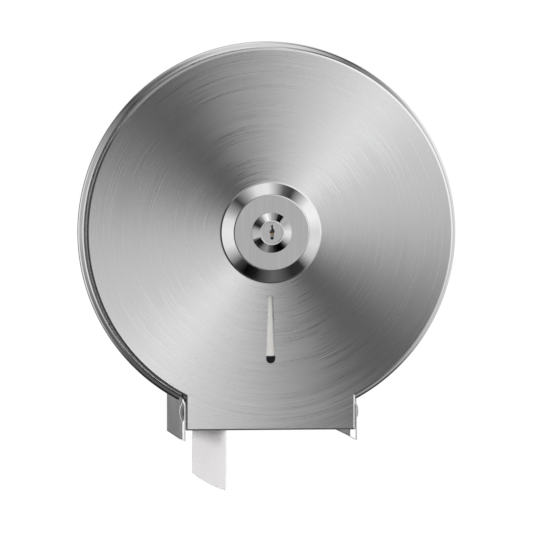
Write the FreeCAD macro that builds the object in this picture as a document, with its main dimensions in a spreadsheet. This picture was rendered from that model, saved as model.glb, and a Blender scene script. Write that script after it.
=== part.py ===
import FreeCAD
import Part
import Sketcher
import math
import os
from FreeCAD import Placement, Rotation, Vector

# Wall dispenser for a jumbo toilet roll: a round steel drum with a bottom hinged cover, a central
# key lock and a fixed spindle. The origin is on the wall, on the spindle axis. +X is to the right,
# +Y goes into the wall and +Z is up. Each piece is drawn as seen from the front: x to the right,
# y up and z the depth away from the wall.

SIZES = {
    # drum, flange and cheeks, one sheet of steel round the roll
    "drum_radius": 125.0,
    "sheet_wall": 1.0,
    "rim_depth": 97.0,
    "flange_width": 5.5,
    "throat_half": 61.4,
    "cheek_reach": 22.0,
    "tooth_pitch": 4.0,
    "tooth_depth": 1.2,
    # rolled bead round the flange
    "bead_radius": 2.2,
    "bead_clearance": 0.1,
    # back plate
    "back_wall": 1.2,
    "seam_clearance": 0.2,
    "back_rise": 13.0,
    "screw_spread": 60.0,
    "screw_hole_radius": 3.0,
    # cover sheet with its chin, level slot and lock hole
    "cover_overlap": 5.0,
    "cover_wall": 1.0,
    "cover_gap": 1.0,
    "cover_depth": 20.0,
    "chin_clearance": 0.4,
    "chin_rise": 7.5,
    "chin_return": 2.5,
    "cover_round": 1.8,
    "slot_top_height": 46.25,
    "slot_top_radius": 1.7,
    "slot_low_overlap": 1.7,
    "slot_low_radius": 3.25,
    # soft pads between cover and flange
    "buffer_radius": 1.8,
    "buffer_inset": 0.1,
    "buffer_height": 0.7,
    # front plates of the throat and the cover's hinge rivets
    "plate_wall": 1.0,
    "plate_lap": 7.0,
    "plate_setback": 0.5,
    "plate_gap": 2.9,
    "ear_radius": 11.3,
    "hinge_setback": 9.5,
    "hinge_rise": 20.0,
    "hinge_pin_radius": 3.0,
    "hinge_head_radius": 7.25,
    "hinge_head_height": 2.2,
    "hinge_foot_radius": 5.0,
    "hinge_foot_height": 1.2,
    "pin_clearance": 0.06,
    # spindle post with its foot flange and collar
    "post_radius": 16.0,
    "post_wall": 1.5,
    "post_setback": 13.0,
    "foot_radius": 26.0,
    "foot_wall": 1.5,
    "collar_radius": 20.0,
    "collar_front": 20.0,
    "collar_wall": 3.0,
    "post_rivet_track": 21.5,
    "post_rivet_radius": 1.6,
    "post_rivet_head_radius": 3.0,
    "post_rivet_head_height": 1.2,
    # slotted disc in the post's mouth, behind which the cam locks
    "striker_inset": 3.0,
    "striker_wall": 2.0,
    "striker_hole_radius": 10.2,
    "striker_slot_half": 4.6,
    "striker_slot_shoulder": 12.6,
    "striker_slot_reach": 13.3,
    # hub on which the roll turns
    "hub_clearance": 0.06,
    "hub_washer_radius": 22.0,
    "hub_washer_wall": 1.2,
    "hub_play": 0.2,
    "hub_radius": 28.0,
    "hub_wall": 2.0,
    "hub_flange_radius": 40.0,
    "hub_flange_wall": 2.6,
    "hub_inset": 16.3,
    "hub_rib_wall": 1.6,
    "retainer_play": 0.4,
    "retainer_radius": 20.0,
    "retainer_wall": 2.0,
    # paper roll on its cardboard core
    "core_play": 0.4,
    "core_wall": 1.6,
    "roll_play": 0.3,
    "roll_radius": 87.5,
    "roll_gap": 2.7,
    "wound_clearance": 0.1,
    # loose end of the paper
    "tail_lift": 0.5,
    "tail_wall": 0.4,
    "tail_far_run": 8.2013,
    "tail_far_drop": 176.0,
    "tail_near_run": 22.9013,
    "tail_near_drop": 182.0,
    # knob round the lock
    "knob_radius": 36.0,
    "knob_edge": 0.6,
    "knob_bore": 27.2,
    "knob_height": 6.0,
    "knob_lip": 0.5,
    "disc_clearance": 0.3,
    "disc_height": 5.7,
    "disc_round": 0.3,
    # cam lock
    "barrel_radius": 9.5,
    "barrel_clearance": 0.06,
    "barrel_inset": 1.8,
    "rosette_radius": 14.2,
    "rosette_edge": 0.4,
    "rosette_height": 2.5,
    "rosette_lip_radius": 8.6,
    "rosette_recess": 0.5,
    "plug_radius": 7.4,
    "plug_clearance": 0.06,
    "keyway_depth": 20.0,
    "wafer_wall": 0.8,
    "wafer_half": 0.9,
    "wafer_height": 3.2,
    "wafer_pitch": 2.6,
    "wafer_recess": 1.2,
    "tail_square_half": 3.0,
    "tail_square_length": 3.0,
    "cam_wall": 2.0,
    "cam_lead": 0.7,
    "cam_half": 4.0,
    "cam_hub_radius": 6.5,
    "cam_reach": 12.6,
    "cam_screw_radius": 1.75,
    "cam_screw_head_radius": 4.6,
    "cam_screw_head_height": 1.5,
    "cam_screw_length": 4.0,
    "lock_washer_radius": 14.0,
    "lock_washer_wall": 1.0,
    "lock_nut_radius": 13.8,
    "lock_nut_height": 4.0,
    # how far a cut runs past what it cuts
    "overrun": 2.0,
}

POST_RIVETS = 4
BUFFERS = 6
HUB_RIBS = 6
WAFERS = 5
NUT_SIDES = 6
BUFFER_FIRST_ANGLE = -30
BUFFER_STEP = 48
TAIL_LEAVES_AT = 232
TAIL_STARTS_AT = 222

# keyway outline as shares of the plug's radius, clockwise from the top left
KEYWAY_SHARES = [
    (-0.07, 0.72), (0.08, 0.75), (0.09, 0.43), (0.26, 0.16), (0.22, 0.02), (0.15, -0.06),
    (0.15, -0.64), (-0.15, -0.64), (-0.15, -0.06), (-0.26, 0.04), (-0.20, 0.17),
    (-0.08, 0.32), (-0.06, 0.48), (-0.12, 0.62),
]

doc = FreeCAD.newDocument("jumbo_roll_dispenser")
sheet = doc.addObject("Spreadsheet::Sheet", "Sizes")
for row, (alias, amount) in enumerate(SIZES.items(), start=1):
    sheet.set("A%d" % row, alias.replace("_", " "))
    sheet.set("B%d" % row, str(amount))
    sheet.setAlias("B%d" % row, alias)
doc.recompute()

FACING_OUT = Rotation(Vector(1, 0, 0), 90)
pieces = []


def amount_of(word):
    """Value of one word: a cell's name, a share times a cell's name, or the corner's height."""
    if word == "corner_drop":
        return math.sqrt(total(cover_radius) ** 2 - total("throat_half") ** 2)
    share, star, name = word.rpartition("*")
    return (float(share) if star else 1.0) * float(sheet.get(name))


def total(words):
    """Value of a sum of cells, such as 'post_radius - post_wall'."""
    value = 0.0
    sign = 1
    for word in words.split():
        if word == "-":
            sign = -1
        elif word not in ("+", "0"):
            value += sign * amount_of(word)
            sign = 1
        else:
            sign = 1
    return value


def bound(words):
    """The same sum as an expression that reads the sheet."""
    terms = []
    for word in words.split():
        if word in ("+", "-", "0"):
            terms.append(word)
        elif word == "corner_drop":
            terms.append("sqrt((%s)^2 - Sizes.throat_half^2)" % bound(cover_radius))
        else:
            share, star, name = word.rpartition("*")
            terms.append((share + " * " if star else "") + "Sizes." + name)
    return " ".join(terms)


def negative(words):
    """The sum with every sign turned."""
    turned_words = []
    sign = "-"
    for word in words.split():
        if word in ("+", "-"):
            sign = "-" if word == "+" else "+"
        else:
            turned_words += [sign, word]
    return " ".join(turned_words)


# sums that several pieces share; corner_drop is where the cover's circle meets the throat's sides
cheek_drop = "drum_radius + cheek_reach"
flange_radius = "drum_radius + flange_width"
bead_track = flange_radius + " + bead_clearance + bead_radius"
cover_radius = "drum_radius + cover_overlap"
cover_back = "rim_depth + cover_gap"
cover_front = cover_back + " + cover_depth"
inside_face = cover_front + " - cover_wall"
chin_half = "throat_half - plate_wall - chin_clearance"
chin_drop = cheek_drop + " - chin_rise"
hinge_depth = cover_back + " + hinge_setback"
hinge_drop = cheek_drop + " - hinge_rise"
buffer_track = flange_radius + " - buffer_inset - buffer_radius"
slot_low_height = "roll_radius + slot_low_overlap"
post_front = inside_face + " - post_setback"
striker_front = post_front + " - striker_inset"
barrel_back = striker_front + " - barrel_inset"


def keep(piece, label):
    """Marks an object of the document as one piece of the dispenser."""
    piece.Label = label
    pieces.append(piece)
    return piece


def bind(thing, **sums):
    """Binds properties such as Radius or Length to sums of cells."""
    for name, words in sums.items():
        thing.setExpression(name, bound(words))


def new_body(name, depth="0"):
    """A body drawn as seen from the front, that starts at a depth from the wall."""
    owner = doc.addObject("PartDesign::Body", name)
    owner.Placement = Placement(Vector(0, -total(depth), 0), FACING_OUT)
    if depth != "0":
        owner.setExpression("Placement.Base.y", bound(negative(depth)))
    return owner


def new_sketch(owner, role, name, lift="0"):
    """A sketch on one of the body's own planes, or lifted off it along its normal."""
    plan = owner.newObject("Sketcher::SketchObject", name)
    plane = [item for item in owner.Origin.OriginFeatures if item.Role == role][0]
    plan.AttachmentSupport = [(plane, "")]
    plan.MapMode = "FlatFace"
    if lift != "0":
        plan.setExpression("AttachmentOffset.Base.z", bound(lift))
    return plan


def place(plan, line, end, x_words=None, y_words=None):
    """Holds one end of a line at sums of cells, measured from the sketch's origin."""
    for kind, words, axis in (("DistanceX", x_words, -2), ("DistanceY", y_words, -1)):
        if words is None:
            continue
        if words == "0":
            plan.addConstraint(Sketcher.Constraint("PointOnObject", line, end, axis))
            continue
        value = total(words)
        if value > 0:
            at = plan.addConstraint(Sketcher.Constraint(kind, -1, 1, line, end, value))
            plan.setExpression("Constraints[%d]" % at, bound(words))
        else:
            at = plan.addConstraint(Sketcher.Constraint(kind, line, end, -1, 1, -value))
            plan.setExpression("Constraints[%d]" % at, bound(negative(words)))


def polygon(plan, corners):
    """A closed outline of straight lines through corners given as pairs of sums."""
    spots = [Vector(total(x), total(y), 0) for x, y in corners]
    count = len(spots)
    for index, spot in enumerate(spots):
        plan.addGeometry(Part.LineSegment(spot, spots[(index + 1) % count]), False)
    for index in range(count):
        plan.addConstraint(Sketcher.Constraint("Coincident", index, 2, (index + 1) % count, 1))
    for index, (x, y) in enumerate(corners):
        place(plan, index, 1, x, y)


def circle(plan, radius, x="0", y="0"):
    """A full circle, bound in radius and place."""
    spot = Vector(total(x), total(y), 0)
    index = plan.addGeometry(Part.Circle(spot, Vector(0, 0, 1), total(radius)), False)
    at = plan.addConstraint(Sketcher.Constraint("Radius", index, total(radius)))
    plan.setExpression("Constraints[%d]" % at, bound(radius))
    place(plan, index, 3, x, y)


def chinned_circle(plan, radius, half, drop):
    """A circle with a straight chin: an arc over the top, two sides and a level bottom."""
    low = -math.sqrt(total(radius) ** 2 - total(half) ** 2)
    first = math.atan2(low, total(half))
    ring = Part.Circle(Vector(0, 0, 0), Vector(0, 0, 1), total(radius))
    plan.addGeometry(Part.ArcOfCircle(ring, first, math.pi - first), False)
    corners = [
        Vector(-total(half), low, 0),
        Vector(-total(half), -total(drop), 0),
        Vector(total(half), -total(drop), 0),
        Vector(total(half), low, 0),
    ]
    for index in range(3):
        plan.addGeometry(Part.LineSegment(corners[index], corners[index + 1]), False)
    for line in range(4):
        plan.addConstraint(Sketcher.Constraint("Coincident", line, 2, (line + 1) % 4, 1))
    plan.addConstraint(Sketcher.Constraint("Coincident", 0, 3, -1, 1))
    plan.addConstraint(Sketcher.Constraint("Vertical", 1))
    plan.addConstraint(Sketcher.Constraint("Vertical", 3))
    plan.addConstraint(Sketcher.Constraint("Horizontal", 2))
    at = plan.addConstraint(Sketcher.Constraint("Radius", 0, total(radius)))
    plan.setExpression("Constraints[%d]" % at, bound(radius))
    place(plan, 2, 1, negative(half), negative(drop))
    place(plan, 2, 2, half)


def pad(owner, plan, length):
    """Pads a sketch outwards by a sum of cells."""
    feature = owner.newObject("PartDesign::Pad", plan.Name + "_pad")
    feature.Profile = plan
    feature.Length = total(length)
    feature.setExpression("Length", bound(length))
    doc.recompute()
    return feature


def pocket(owner, plan, length=None, outwards=True, both_ways=False):
    """Cuts a sketch into the body, to a depth or through all, and proves that it cut."""
    before = owner.Shape.Volume
    feature = owner.newObject("PartDesign::Pocket", plan.Name + "_cut")
    feature.Profile = plan
    feature.Reversed = outwards
    if length is None:
        feature.Type = "ThroughAll"
        feature.Midplane = both_ways
    else:
        feature.Length = total(length)
        feature.setExpression("Length", bound(length))
    doc.recompute()
    if owner.Shape.Volume >= before:
        raise ValueError(plan.Name + " cuts nothing")
    return feature


def turned(name, corners):
    """A body turned about the spindle axis from corners given as radius and depth."""
    owner = new_body(name)
    plan = new_sketch(owner, "XZ_Plane", name + "_profile")
    polygon(plan, corners)
    feature = owner.newObject("PartDesign::Revolution", name + "_turn")
    feature.Profile = plan
    feature.ReferenceAxis = (plan, ["V_Axis"])
    feature.Angle = 360
    doc.recompute()
    return owner


def rounded(owner, radius, chosen):
    """Rounds the edges for which the test holds."""
    base = owner.Tip
    names = []
    for index, edge in enumerate(base.Shape.Edges, start=1):
        if chosen(edge):
            names.append("Edge%d" % index)
    feature = owner.newObject("PartDesign::Fillet", owner.Name + "_round")
    feature.Base = (base, names)
    feature.Radius = total(radius)
    feature.setExpression("Radius", bound(radius))
    doc.recompute()
    if "Invalid" in feature.State:
        raise ValueError(owner.Name + " can't be rounded")
    return feature


def box(name, low, high):
    """A block between two corners, each given as three sums: right, up and out."""
    thing = doc.addObject("Part::Box", name)
    spans = [high[i] + " " + negative(low[i]) for i in range(3)]
    bind(thing, Length=spans[0], Width=spans[1], Height=spans[2])
    thing.Placement = Placement(Vector(total(low[0]), -total(low[2]), total(low[1])), FACING_OUT)
    thing.setExpression("Placement.Base.x", bound(low[0]))
    thing.setExpression("Placement.Base.y", bound(negative(low[2])))
    thing.setExpression("Placement.Base.z", bound(low[1]))
    return thing


def rod(name, radius, start, end):
    """A round rod about the spindle axis from one depth to another."""
    thing = doc.addObject("Part::Cylinder", name)
    bind(thing, Radius=radius, Height=end + " " + negative(start))
    thing.Placement = Placement(Vector(0, -total(start), 0), FACING_OUT)
    thing.setExpression("Placement.Base.y", bound(negative(start)))
    return thing


def combined(kind, name, base, tool):
    """Part::Cut, Part::Fuse or Part::Common of two objects."""
    thing = doc.addObject(kind, name)
    thing.Base = base
    thing.Tool = tool
    return thing


def group(label, members):
    """Like pieces kept as one node of separate solids."""
    thing = doc.addObject("Part::Compound", label)
    thing.Links = members
    return keep(thing, label)


def toothed(owner, start, count):
    """A saw edge along the bottom of upright sheets: one notch, repeated outwards."""
    plan = new_sketch(owner, "YZ_Plane", owner.Name + "_notch")
    edge = negative(cheek_drop)
    polygon(plan, [
        (edge, start),
        (edge + " + tooth_depth", start + " + 0.5*tooth_pitch"),
        (edge, start + " + tooth_pitch"),
    ])
    notch = pocket(owner, plan, both_ways=True)
    row = owner.newObject("PartDesign::LinearPattern", owner.Name + "_teeth")
    row.Originals = [notch]
    row.Direction = (plan, ["V_Axis"])
    row.Occurrences = count
    row.Length = total("tooth_pitch") * (count - 1)
    row.setExpression("Length", bound("tooth_pitch") + " * %d" % (count - 1))
    owner.Tip = row
    doc.recompute()


# Drum, flange and cheeks: one bent and flanged sheet that surrounds the roll and opens downwards
# at the throat. Its saw edges under the cheeks tear the paper.
housing = new_body("housing")
plan = new_sketch(housing, "XY_Plane", "drum_outside")
chinned_circle(plan, "drum_radius", "throat_half + sheet_wall", cheek_drop)
pad(housing, plan, "rim_depth")
plan = new_sketch(housing, "XY_Plane", "flange", "rim_depth - sheet_wall")
circle(plan, flange_radius)
pad(housing, plan, "sheet_wall")
plan = new_sketch(housing, "XY_Plane", "drum_inside")
chinned_circle(plan, "drum_radius - sheet_wall", "throat_half", cheek_drop + " + overrun")
pocket(housing, plan)
cheek_teeth = int(total("rim_depth") // total("tooth_pitch"))
toothed(housing, "0", cheek_teeth)
keep(housing, "housing")

# Rolled bead on the flange's edge, open across the throat
bead_ring = doc.addObject("Part::Torus", "bead_ring")
bind(bead_ring, Radius1=bead_track, Radius2="bead_radius")
bead_ring.Placement = Placement(Vector(0, -total("rim_depth - 0.5*sheet_wall"), 0), FACING_OUT)
bead_ring.setExpression("Placement.Base.y", bound(negative("rim_depth - 0.5*sheet_wall")))
bead_gap = box(
    "bead_gap",
    ("- throat_half - sheet_wall", negative(cheek_drop), "rim_depth - sheet_wall - bead_radius - overrun"),
    ("throat_half + sheet_wall", "0", "rim_depth + bead_radius + overrun"),
)
keep(combined("Part::Cut", "rim_bead", bead_ring, bead_gap), "rim_bead")

# Back plate, flat on the wall, with four screw holes and the rivet holes of the spindle's foot
back_plate = new_body("back_plate")
plan = new_sketch(back_plate, "XY_Plane", "back_outline")
chinned_circle(
    plan,
    "drum_radius - sheet_wall - seam_clearance",
    "throat_half - seam_clearance",
    cheek_drop + " - back_rise",
)
pad(back_plate, plan, "back_wall")
plan = new_sketch(back_plate, "XY_Plane", "screw_holes")
for across in ("screw_spread", "- screw_spread"):
    for up in ("screw_spread", "- screw_spread"):
        circle(plan, "screw_hole_radius", across, up)
for across, up in (("post_rivet_track", "0"), ("- post_rivet_track", "0"),
                   ("0", "post_rivet_track"), ("0", "- post_rivet_track")):
    circle(plan, "post_rivet_radius + pin_clearance", across, up)
pocket(back_plate, plan)
keep(back_plate, "back_plate")

# Front plates of the throat, lapped inside the cheeks, and the rivets that carry the cover's chin
plate_back = "rim_depth - plate_lap"
plate_front = cover_front + " - plate_setback"
plate_top = "corner_drop + plate_gap"
plate_teeth = int((total(plate_front) - total(plate_back)) // total("tooth_pitch"))
for side, offset, angle in (("right", "throat_half - plate_wall", 90), ("left", "- throat_half", -90)):
    plate = new_body("tear_plate_" + side)
    plan = new_sketch(plate, "YZ_Plane", side + "_plate_outline", offset)
    polygon(plan, [
        (negative(cheek_drop), plate_back),
        (negative(plate_top), plate_back),
        (negative(plate_top), hinge_depth + " + 0.54*ear_radius"),
        (negative(hinge_drop) + " + 0.67*ear_radius", hinge_depth + " + 0.73*ear_radius"),
        (negative(hinge_drop) + " + 0.45*ear_radius", plate_front),
        (negative(cheek_drop), plate_front),
    ])
    pad(plate, plan, "plate_wall")
    plan = new_sketch(plate, "YZ_Plane", side + "_pivot_hole")
    circle(plan, "hinge_pin_radius + pin_clearance", negative(hinge_drop), hinge_depth)
    pocket(plate, plan, both_ways=True)
    toothed(plate, plate_back, plate_teeth)
    keep(plate, "tear_plate_" + side)

    foot_face = chin_half + " - cover_wall - seam_clearance"
    rivet = turned("hinge_rivet_" + side, [
        ("0", foot_face + " - hinge_foot_height"),
        ("hinge_foot_radius", foot_face + " - hinge_foot_height"),
        ("hinge_foot_radius", foot_face),
        ("hinge_pin_radius", foot_face),
        ("hinge_pin_radius", "throat_half"),
        ("hinge_head_radius", "throat_half"),
        ("hinge_head_radius", "throat_half + 0.15*hinge_head_height"),
        ("0.8*hinge_head_radius", "throat_half + 0.65*hinge_head_height"),
        ("0.45*hinge_head_radius", "throat_half + 0.93*hinge_head_height"),
        ("0", "throat_half + hinge_head_height"),
    ])
    rivet.Placement = Placement(
        Vector(0, -total(hinge_depth), -total(hinge_drop)),
        Rotation(Vector(0, 1, 0), angle),
    )
    rivet.setExpression("Placement.Base.y", bound(negative(hinge_depth)))
    rivet.setExpression("Placement.Base.z", bound(negative(hinge_drop)))
    keep(rivet, "hinge_rivet_" + side)

# Spindle: a tube with a riveted foot and a collar that spaces the roll from the wall
foot_front = "back_wall + foot_wall"
keep(turned("spindle_post", [
    ("post_radius - post_wall", "back_wall"),
    ("foot_radius", "back_wall"),
    ("foot_radius", foot_front),
    ("post_radius", foot_front),
    ("post_radius", "collar_front - collar_wall"),
    ("collar_radius", "collar_front - collar_wall"),
    ("collar_radius", "collar_front"),
    ("post_radius", "collar_front"),
    ("post_radius", post_front),
    ("post_radius - post_wall", post_front),
]), "spindle_post")
post = pieces[-1]
plan = new_sketch(post, "XY_Plane", "foot_holes")
for across, up in (("post_rivet_track", "0"), ("- post_rivet_track", "0"),
                   ("0", "post_rivet_track"), ("0", "- post_rivet_track")):
    circle(plan, "post_rivet_radius + pin_clearance", across, up)
pocket(post, plan, foot_front + " + 0.5*overrun")

rivets = []
for index in range(POST_RIVETS):
    angle = math.radians(360 / POST_RIVETS * index)
    rivet = turned("post_rivet_%d" % index, [
        ("0", "0"),
        ("post_rivet_radius", "0"),
        ("post_rivet_radius", foot_front),
        ("post_rivet_head_radius", foot_front),
        ("0.8*post_rivet_head_radius", foot_front + " + 0.7*post_rivet_head_height"),
        ("0.4*post_rivet_head_radius", foot_front + " + post_rivet_head_height"),
        ("0", foot_front + " + post_rivet_head_height"),
    ])
    rivet.setExpression("Placement.Base.x", bound("post_rivet_track") + " * %.6f" % math.cos(angle))
    rivet.setExpression("Placement.Base.z", bound("post_rivet_track") + " * %.6f" % math.sin(angle))
    rivets.append(rivet)
group("post_rivets", rivets)

# Striker: a disc in the post's mouth with a slot that lets the cam through when it stands upright
striker = new_body("striker_disc", striker_front + " - striker_wall")
plan = new_sketch(striker, "XY_Plane", "striker_outline")
circle(plan, "post_radius - post_wall - pin_clearance")
circle(plan, "striker_hole_radius")
pad(striker, plan, "striker_wall")
plan = new_sketch(striker, "XY_Plane", "striker_slot")
polygon(plan, [
    ("- striker_slot_half", "0"),
    ("- striker_slot_half", "striker_slot_shoulder"),
    ("- 0.5*striker_slot_half", "striker_slot_reach"),
    ("0.5*striker_slot_half", "striker_slot_reach"),
    ("striker_slot_half", "striker_slot_shoulder"),
    ("striker_slot_half", "0"),
])
pocket(striker, plan)
keep(striker, "striker_disc")

# Hub: washer, moulded spool and snap ring on the post
washer_front = "collar_front + hub_washer_wall"
hub_back = washer_front + " + hub_play"
roll_back = hub_back + " + hub_flange_wall + roll_play"
roll_front = inside_face + " - roll_gap"
hub_front = roll_front + " - hub_inset"
hub_bore = "post_radius + hub_clearance"
keep(turned("hub_washer", [
    (hub_bore, "collar_front"),
    ("hub_washer_radius", "collar_front"),
    ("hub_washer_radius", washer_front),
    (hub_bore, washer_front),
]), "hub_washer")
hub = turned("hub_sleeve", [
    (hub_bore, hub_back),
    ("hub_flange_radius", hub_back),
    ("hub_flange_radius", hub_back + " + hub_flange_wall"),
    ("hub_radius", hub_back + " + hub_flange_wall"),
    ("hub_radius", hub_front),
    ("hub_radius - hub_wall", hub_front),
    ("hub_radius - hub_wall", hub_back + " + hub_flange_wall"),
    (hub_bore + " + hub_wall", hub_back + " + hub_flange_wall"),
    (hub_bore + " + hub_wall", hub_front),
    (hub_bore, hub_front),
])
plan = new_sketch(hub, "XY_Plane", "hub_rib", hub_back)
polygon(plan, [
    (hub_bore + " + 0.5*hub_wall", "- 0.5*hub_rib_wall"),
    ("hub_radius - 0.5*hub_wall", "- 0.5*hub_rib_wall"),
    ("hub_radius - 0.5*hub_wall", "0.5*hub_rib_wall"),
    (hub_bore + " + 0.5*hub_wall", "0.5*hub_rib_wall"),
])
rib = pad(hub, plan, hub_front + " " + negative(hub_back) + " - hub_wall")
ribs = hub.newObject("PartDesign::PolarPattern", "hub_ribs")
ribs.Originals = [rib]
ribs.Axis = (plan, ["N_Axis"])
ribs.Angle = 360
ribs.Occurrences = HUB_RIBS
hub.Tip = ribs
doc.recompute()
keep(hub, "hub_sleeve")
keep(turned("hub_retainer", [
    (hub_bore, hub_front + " + retainer_play"),
    ("retainer_radius", hub_front + " + retainer_play"),
    ("retainer_radius", hub_front + " + retainer_play + retainer_wall"),
    (hub_bore, hub_front + " + retainer_play + retainer_wall"),
]), "hub_retainer")

# Paper roll wound on its cardboard core
core_bore = "hub_radius + core_play"
keep(turned("roll_core", [
    (core_bore, roll_back),
    (core_bore + " + core_wall", roll_back),
    (core_bore + " + core_wall", roll_front),
    (core_bore, roll_front),
]), "roll_core")
keep(turned("paper_roll", [
    (core_bore + " + core_wall + wound_clearance", roll_back),
    ("roll_radius", roll_back),
    ("roll_radius", roll_front),
    (core_bore + " + core_wall + wound_clearance", roll_front),
]), "paper_roll")


def tail_section(depth, run, drop):
    """Outline of the paper's loose end at one depth: off the roll, inwards by the run round a bend,
    and down."""
    track = total("roll_radius + tail_lift + 0.5*tail_wall")
    leave = math.radians(TAIL_LEAVES_AT)
    start = math.radians(TAIL_STARTS_AT)
    middle = (leave + start) / 2
    corner = Vector(track * math.cos(leave), 0, track * math.sin(leave))
    bend = run / (1 + math.cos(leave))
    hub_point = corner + Vector(math.cos(leave), 0, math.sin(leave)) * bend
    faces = []
    for offset in (-total("tail_wall") / 2, total("tail_wall") / 2):
        on_roll = [track + offset, start, middle, leave]
        ring = [
            Vector(on_roll[0] * math.cos(a), 0, on_roll[0] * math.sin(a)) for a in on_roll[1:]
        ]
        turn = bend - offset
        back_angle = leave - math.pi
        half_angle = back_angle / 2
        curve = [
            hub_point + Vector(turn * math.cos(a), 0, turn * math.sin(a)) for a in (half_angle, 0)
        ]
        foot = Vector(curve[-1].x, 0, -drop)
        faces.append(ring + curve + [foot])
    inner, outer = faces
    edges = [
        Part.Arc(outer[0], outer[1], outer[2]).toShape(),
        Part.Arc(outer[2], outer[3], outer[4]).toShape(),
        Part.LineSegment(outer[4], outer[5]).toShape(),
        Part.LineSegment(outer[5], inner[5]).toShape(),
        Part.LineSegment(inner[5], inner[4]).toShape(),
        Part.Arc(inner[4], inner[3], inner[2]).toShape(),
        Part.Arc(inner[2], inner[1], inner[0]).toShape(),
        Part.LineSegment(inner[0], outer[0]).toShape(),
    ]
    wire = Part.Wire(edges)
    wire.translate(Vector(0, -depth, 0))
    return wire


# Loose end of the paper, a little twisted: it leaves the roll at its lower left and hangs out of
# the throat
tail = doc.addObject("Part::Feature", "paper_tail")
tail.Shape = Part.makeLoft([
    tail_section(total(roll_back), total("tail_far_run"), total("tail_far_drop")),
    tail_section(total(roll_front), total("tail_near_run"), total("tail_near_drop")),
], True, True)
keep(tail, "paper_tail")

# Cover: pressed face with an edge turned back, open under the chin for the paper
cover = new_body("cover", cover_back)
plan = new_sketch(cover, "XY_Plane", "cover_outside")
chinned_circle(plan, cover_radius, chin_half, chin_drop)
pad(cover, plan, "cover_depth")
rounded(cover, "cover_round", lambda edge: (
    edge.BoundBox.ZMin > total("cover_depth") - 0.5 * total("cover_wall")
))
plan = new_sketch(cover, "XY_Plane", "cover_inside")
chinned_circle(
    plan,
    cover_radius + " - cover_wall",
    chin_half + " - cover_wall",
    chin_drop + " - cover_wall",
)
pocket(cover, plan, "cover_depth - cover_wall")
plan = new_sketch(cover, "XY_Plane", "chin_opening")
chin_inside = chin_half + " - cover_wall"
below_chin = negative(chin_drop) + " - overrun"
above_chin = negative(chin_drop) + " + cover_wall + overrun"
polygon(plan, [
    (negative(chin_inside), below_chin),
    (negative(chin_inside), above_chin),
    (chin_inside, above_chin),
    (chin_inside, below_chin),
])
pocket(cover, plan, "cover_depth - chin_return")
plan = new_sketch(cover, "XY_Plane", "lock_hole")
circle(plan, "barrel_radius + barrel_clearance")
pocket(cover, plan)
plan = new_sketch(cover, "YZ_Plane", "chin_pivot_holes")
circle(plan, "hinge_pin_radius + pin_clearance", negative(hinge_drop), "hinge_setback")
pocket(cover, plan, both_ways=True)

# level slot: a narrow round top, a wider round bottom and sides that touch both
plan = new_sketch(cover, "XY_Plane", "level_slot")
high = total("slot_top_height")
low = total(slot_low_height)
thin = total("slot_top_radius")
wide = total("slot_low_radius")
lean = math.asin((wide - thin) / (low - high))
ends = []
for height, reach in ((-high, thin), (-low, wide)):
    ends.append(Vector(reach * math.cos(lean), height + reach * math.sin(lean), 0))
top_ring = Part.Circle(Vector(0, -high, 0), Vector(0, 0, 1), thin)
low_ring = Part.Circle(Vector(0, -low, 0), Vector(0, 0, 1), wide)
plan.addGeometry(Part.ArcOfCircle(top_ring, lean, math.pi - lean), False)
plan.addGeometry(Part.LineSegment(Vector(-ends[0].x, ends[0].y, 0), Vector(-ends[1].x, ends[1].y, 0)), False)
plan.addGeometry(Part.ArcOfCircle(low_ring, math.pi - lean, 2 * math.pi + lean), False)
plan.addGeometry(Part.LineSegment(ends[1], ends[0]), False)
for line in range(4):
    plan.addConstraint(Sketcher.Constraint("Tangent", line, 2, (line + 1) % 4, 1))
for arc, reach in ((0, "slot_top_radius"), (2, "slot_low_radius")):
    at = plan.addConstraint(Sketcher.Constraint("Radius", arc, total(reach)))
    plan.setExpression("Constraints[%d]" % at, bound(reach))
place(plan, 0, 3, "0", "- slot_top_height")
place(plan, 2, 3, "0", negative(slot_low_height))
pocket(cover, plan)
keep(cover, "cover")

# Pads on the flange that the cover's edge closes on
buffers = []
for index in range(BUFFERS):
    angle = math.radians(BUFFER_FIRST_ANGLE + BUFFER_STEP * index)
    buffer = rod("buffer_%d" % index, "buffer_radius", "rim_depth", "rim_depth + buffer_height")
    buffer.setExpression("Placement.Base.x", "(" + bound(buffer_track) + ")" + " * %.6f" % math.cos(angle))
    buffer.setExpression("Placement.Base.z", "(" + bound(buffer_track) + ")" + " * %.6f" % math.sin(angle))
    buffers.append(buffer)
group("cover_buffers", buffers)

# Knob round the lock: a bevelled ring and a flat disc inside it
keep(turned("knob_bevel", [
    ("knob_bore", cover_front),
    ("knob_radius", cover_front),
    ("knob_radius", cover_front + " + knob_edge"),
    ("knob_bore + knob_lip", cover_front + " + knob_height"),
    ("knob_bore", cover_front + " + knob_height"),
]), "knob_bevel")
disc_front = cover_front + " + disc_height"
knob_disc = turned("knob_disc", [
    ("barrel_radius + barrel_clearance", cover_front),
    ("knob_bore - disc_clearance", cover_front),
    ("knob_bore - disc_clearance", disc_front),
    ("barrel_radius + barrel_clearance", disc_front),
])
rounded(knob_disc, "disc_round", lambda edge: (
    edge.BoundBox.ZMin > total(disc_front) - total("disc_round")
    and edge.BoundBox.XMax > 0.5 * total("knob_bore")
))
keep(knob_disc, "knob_disc")

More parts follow.
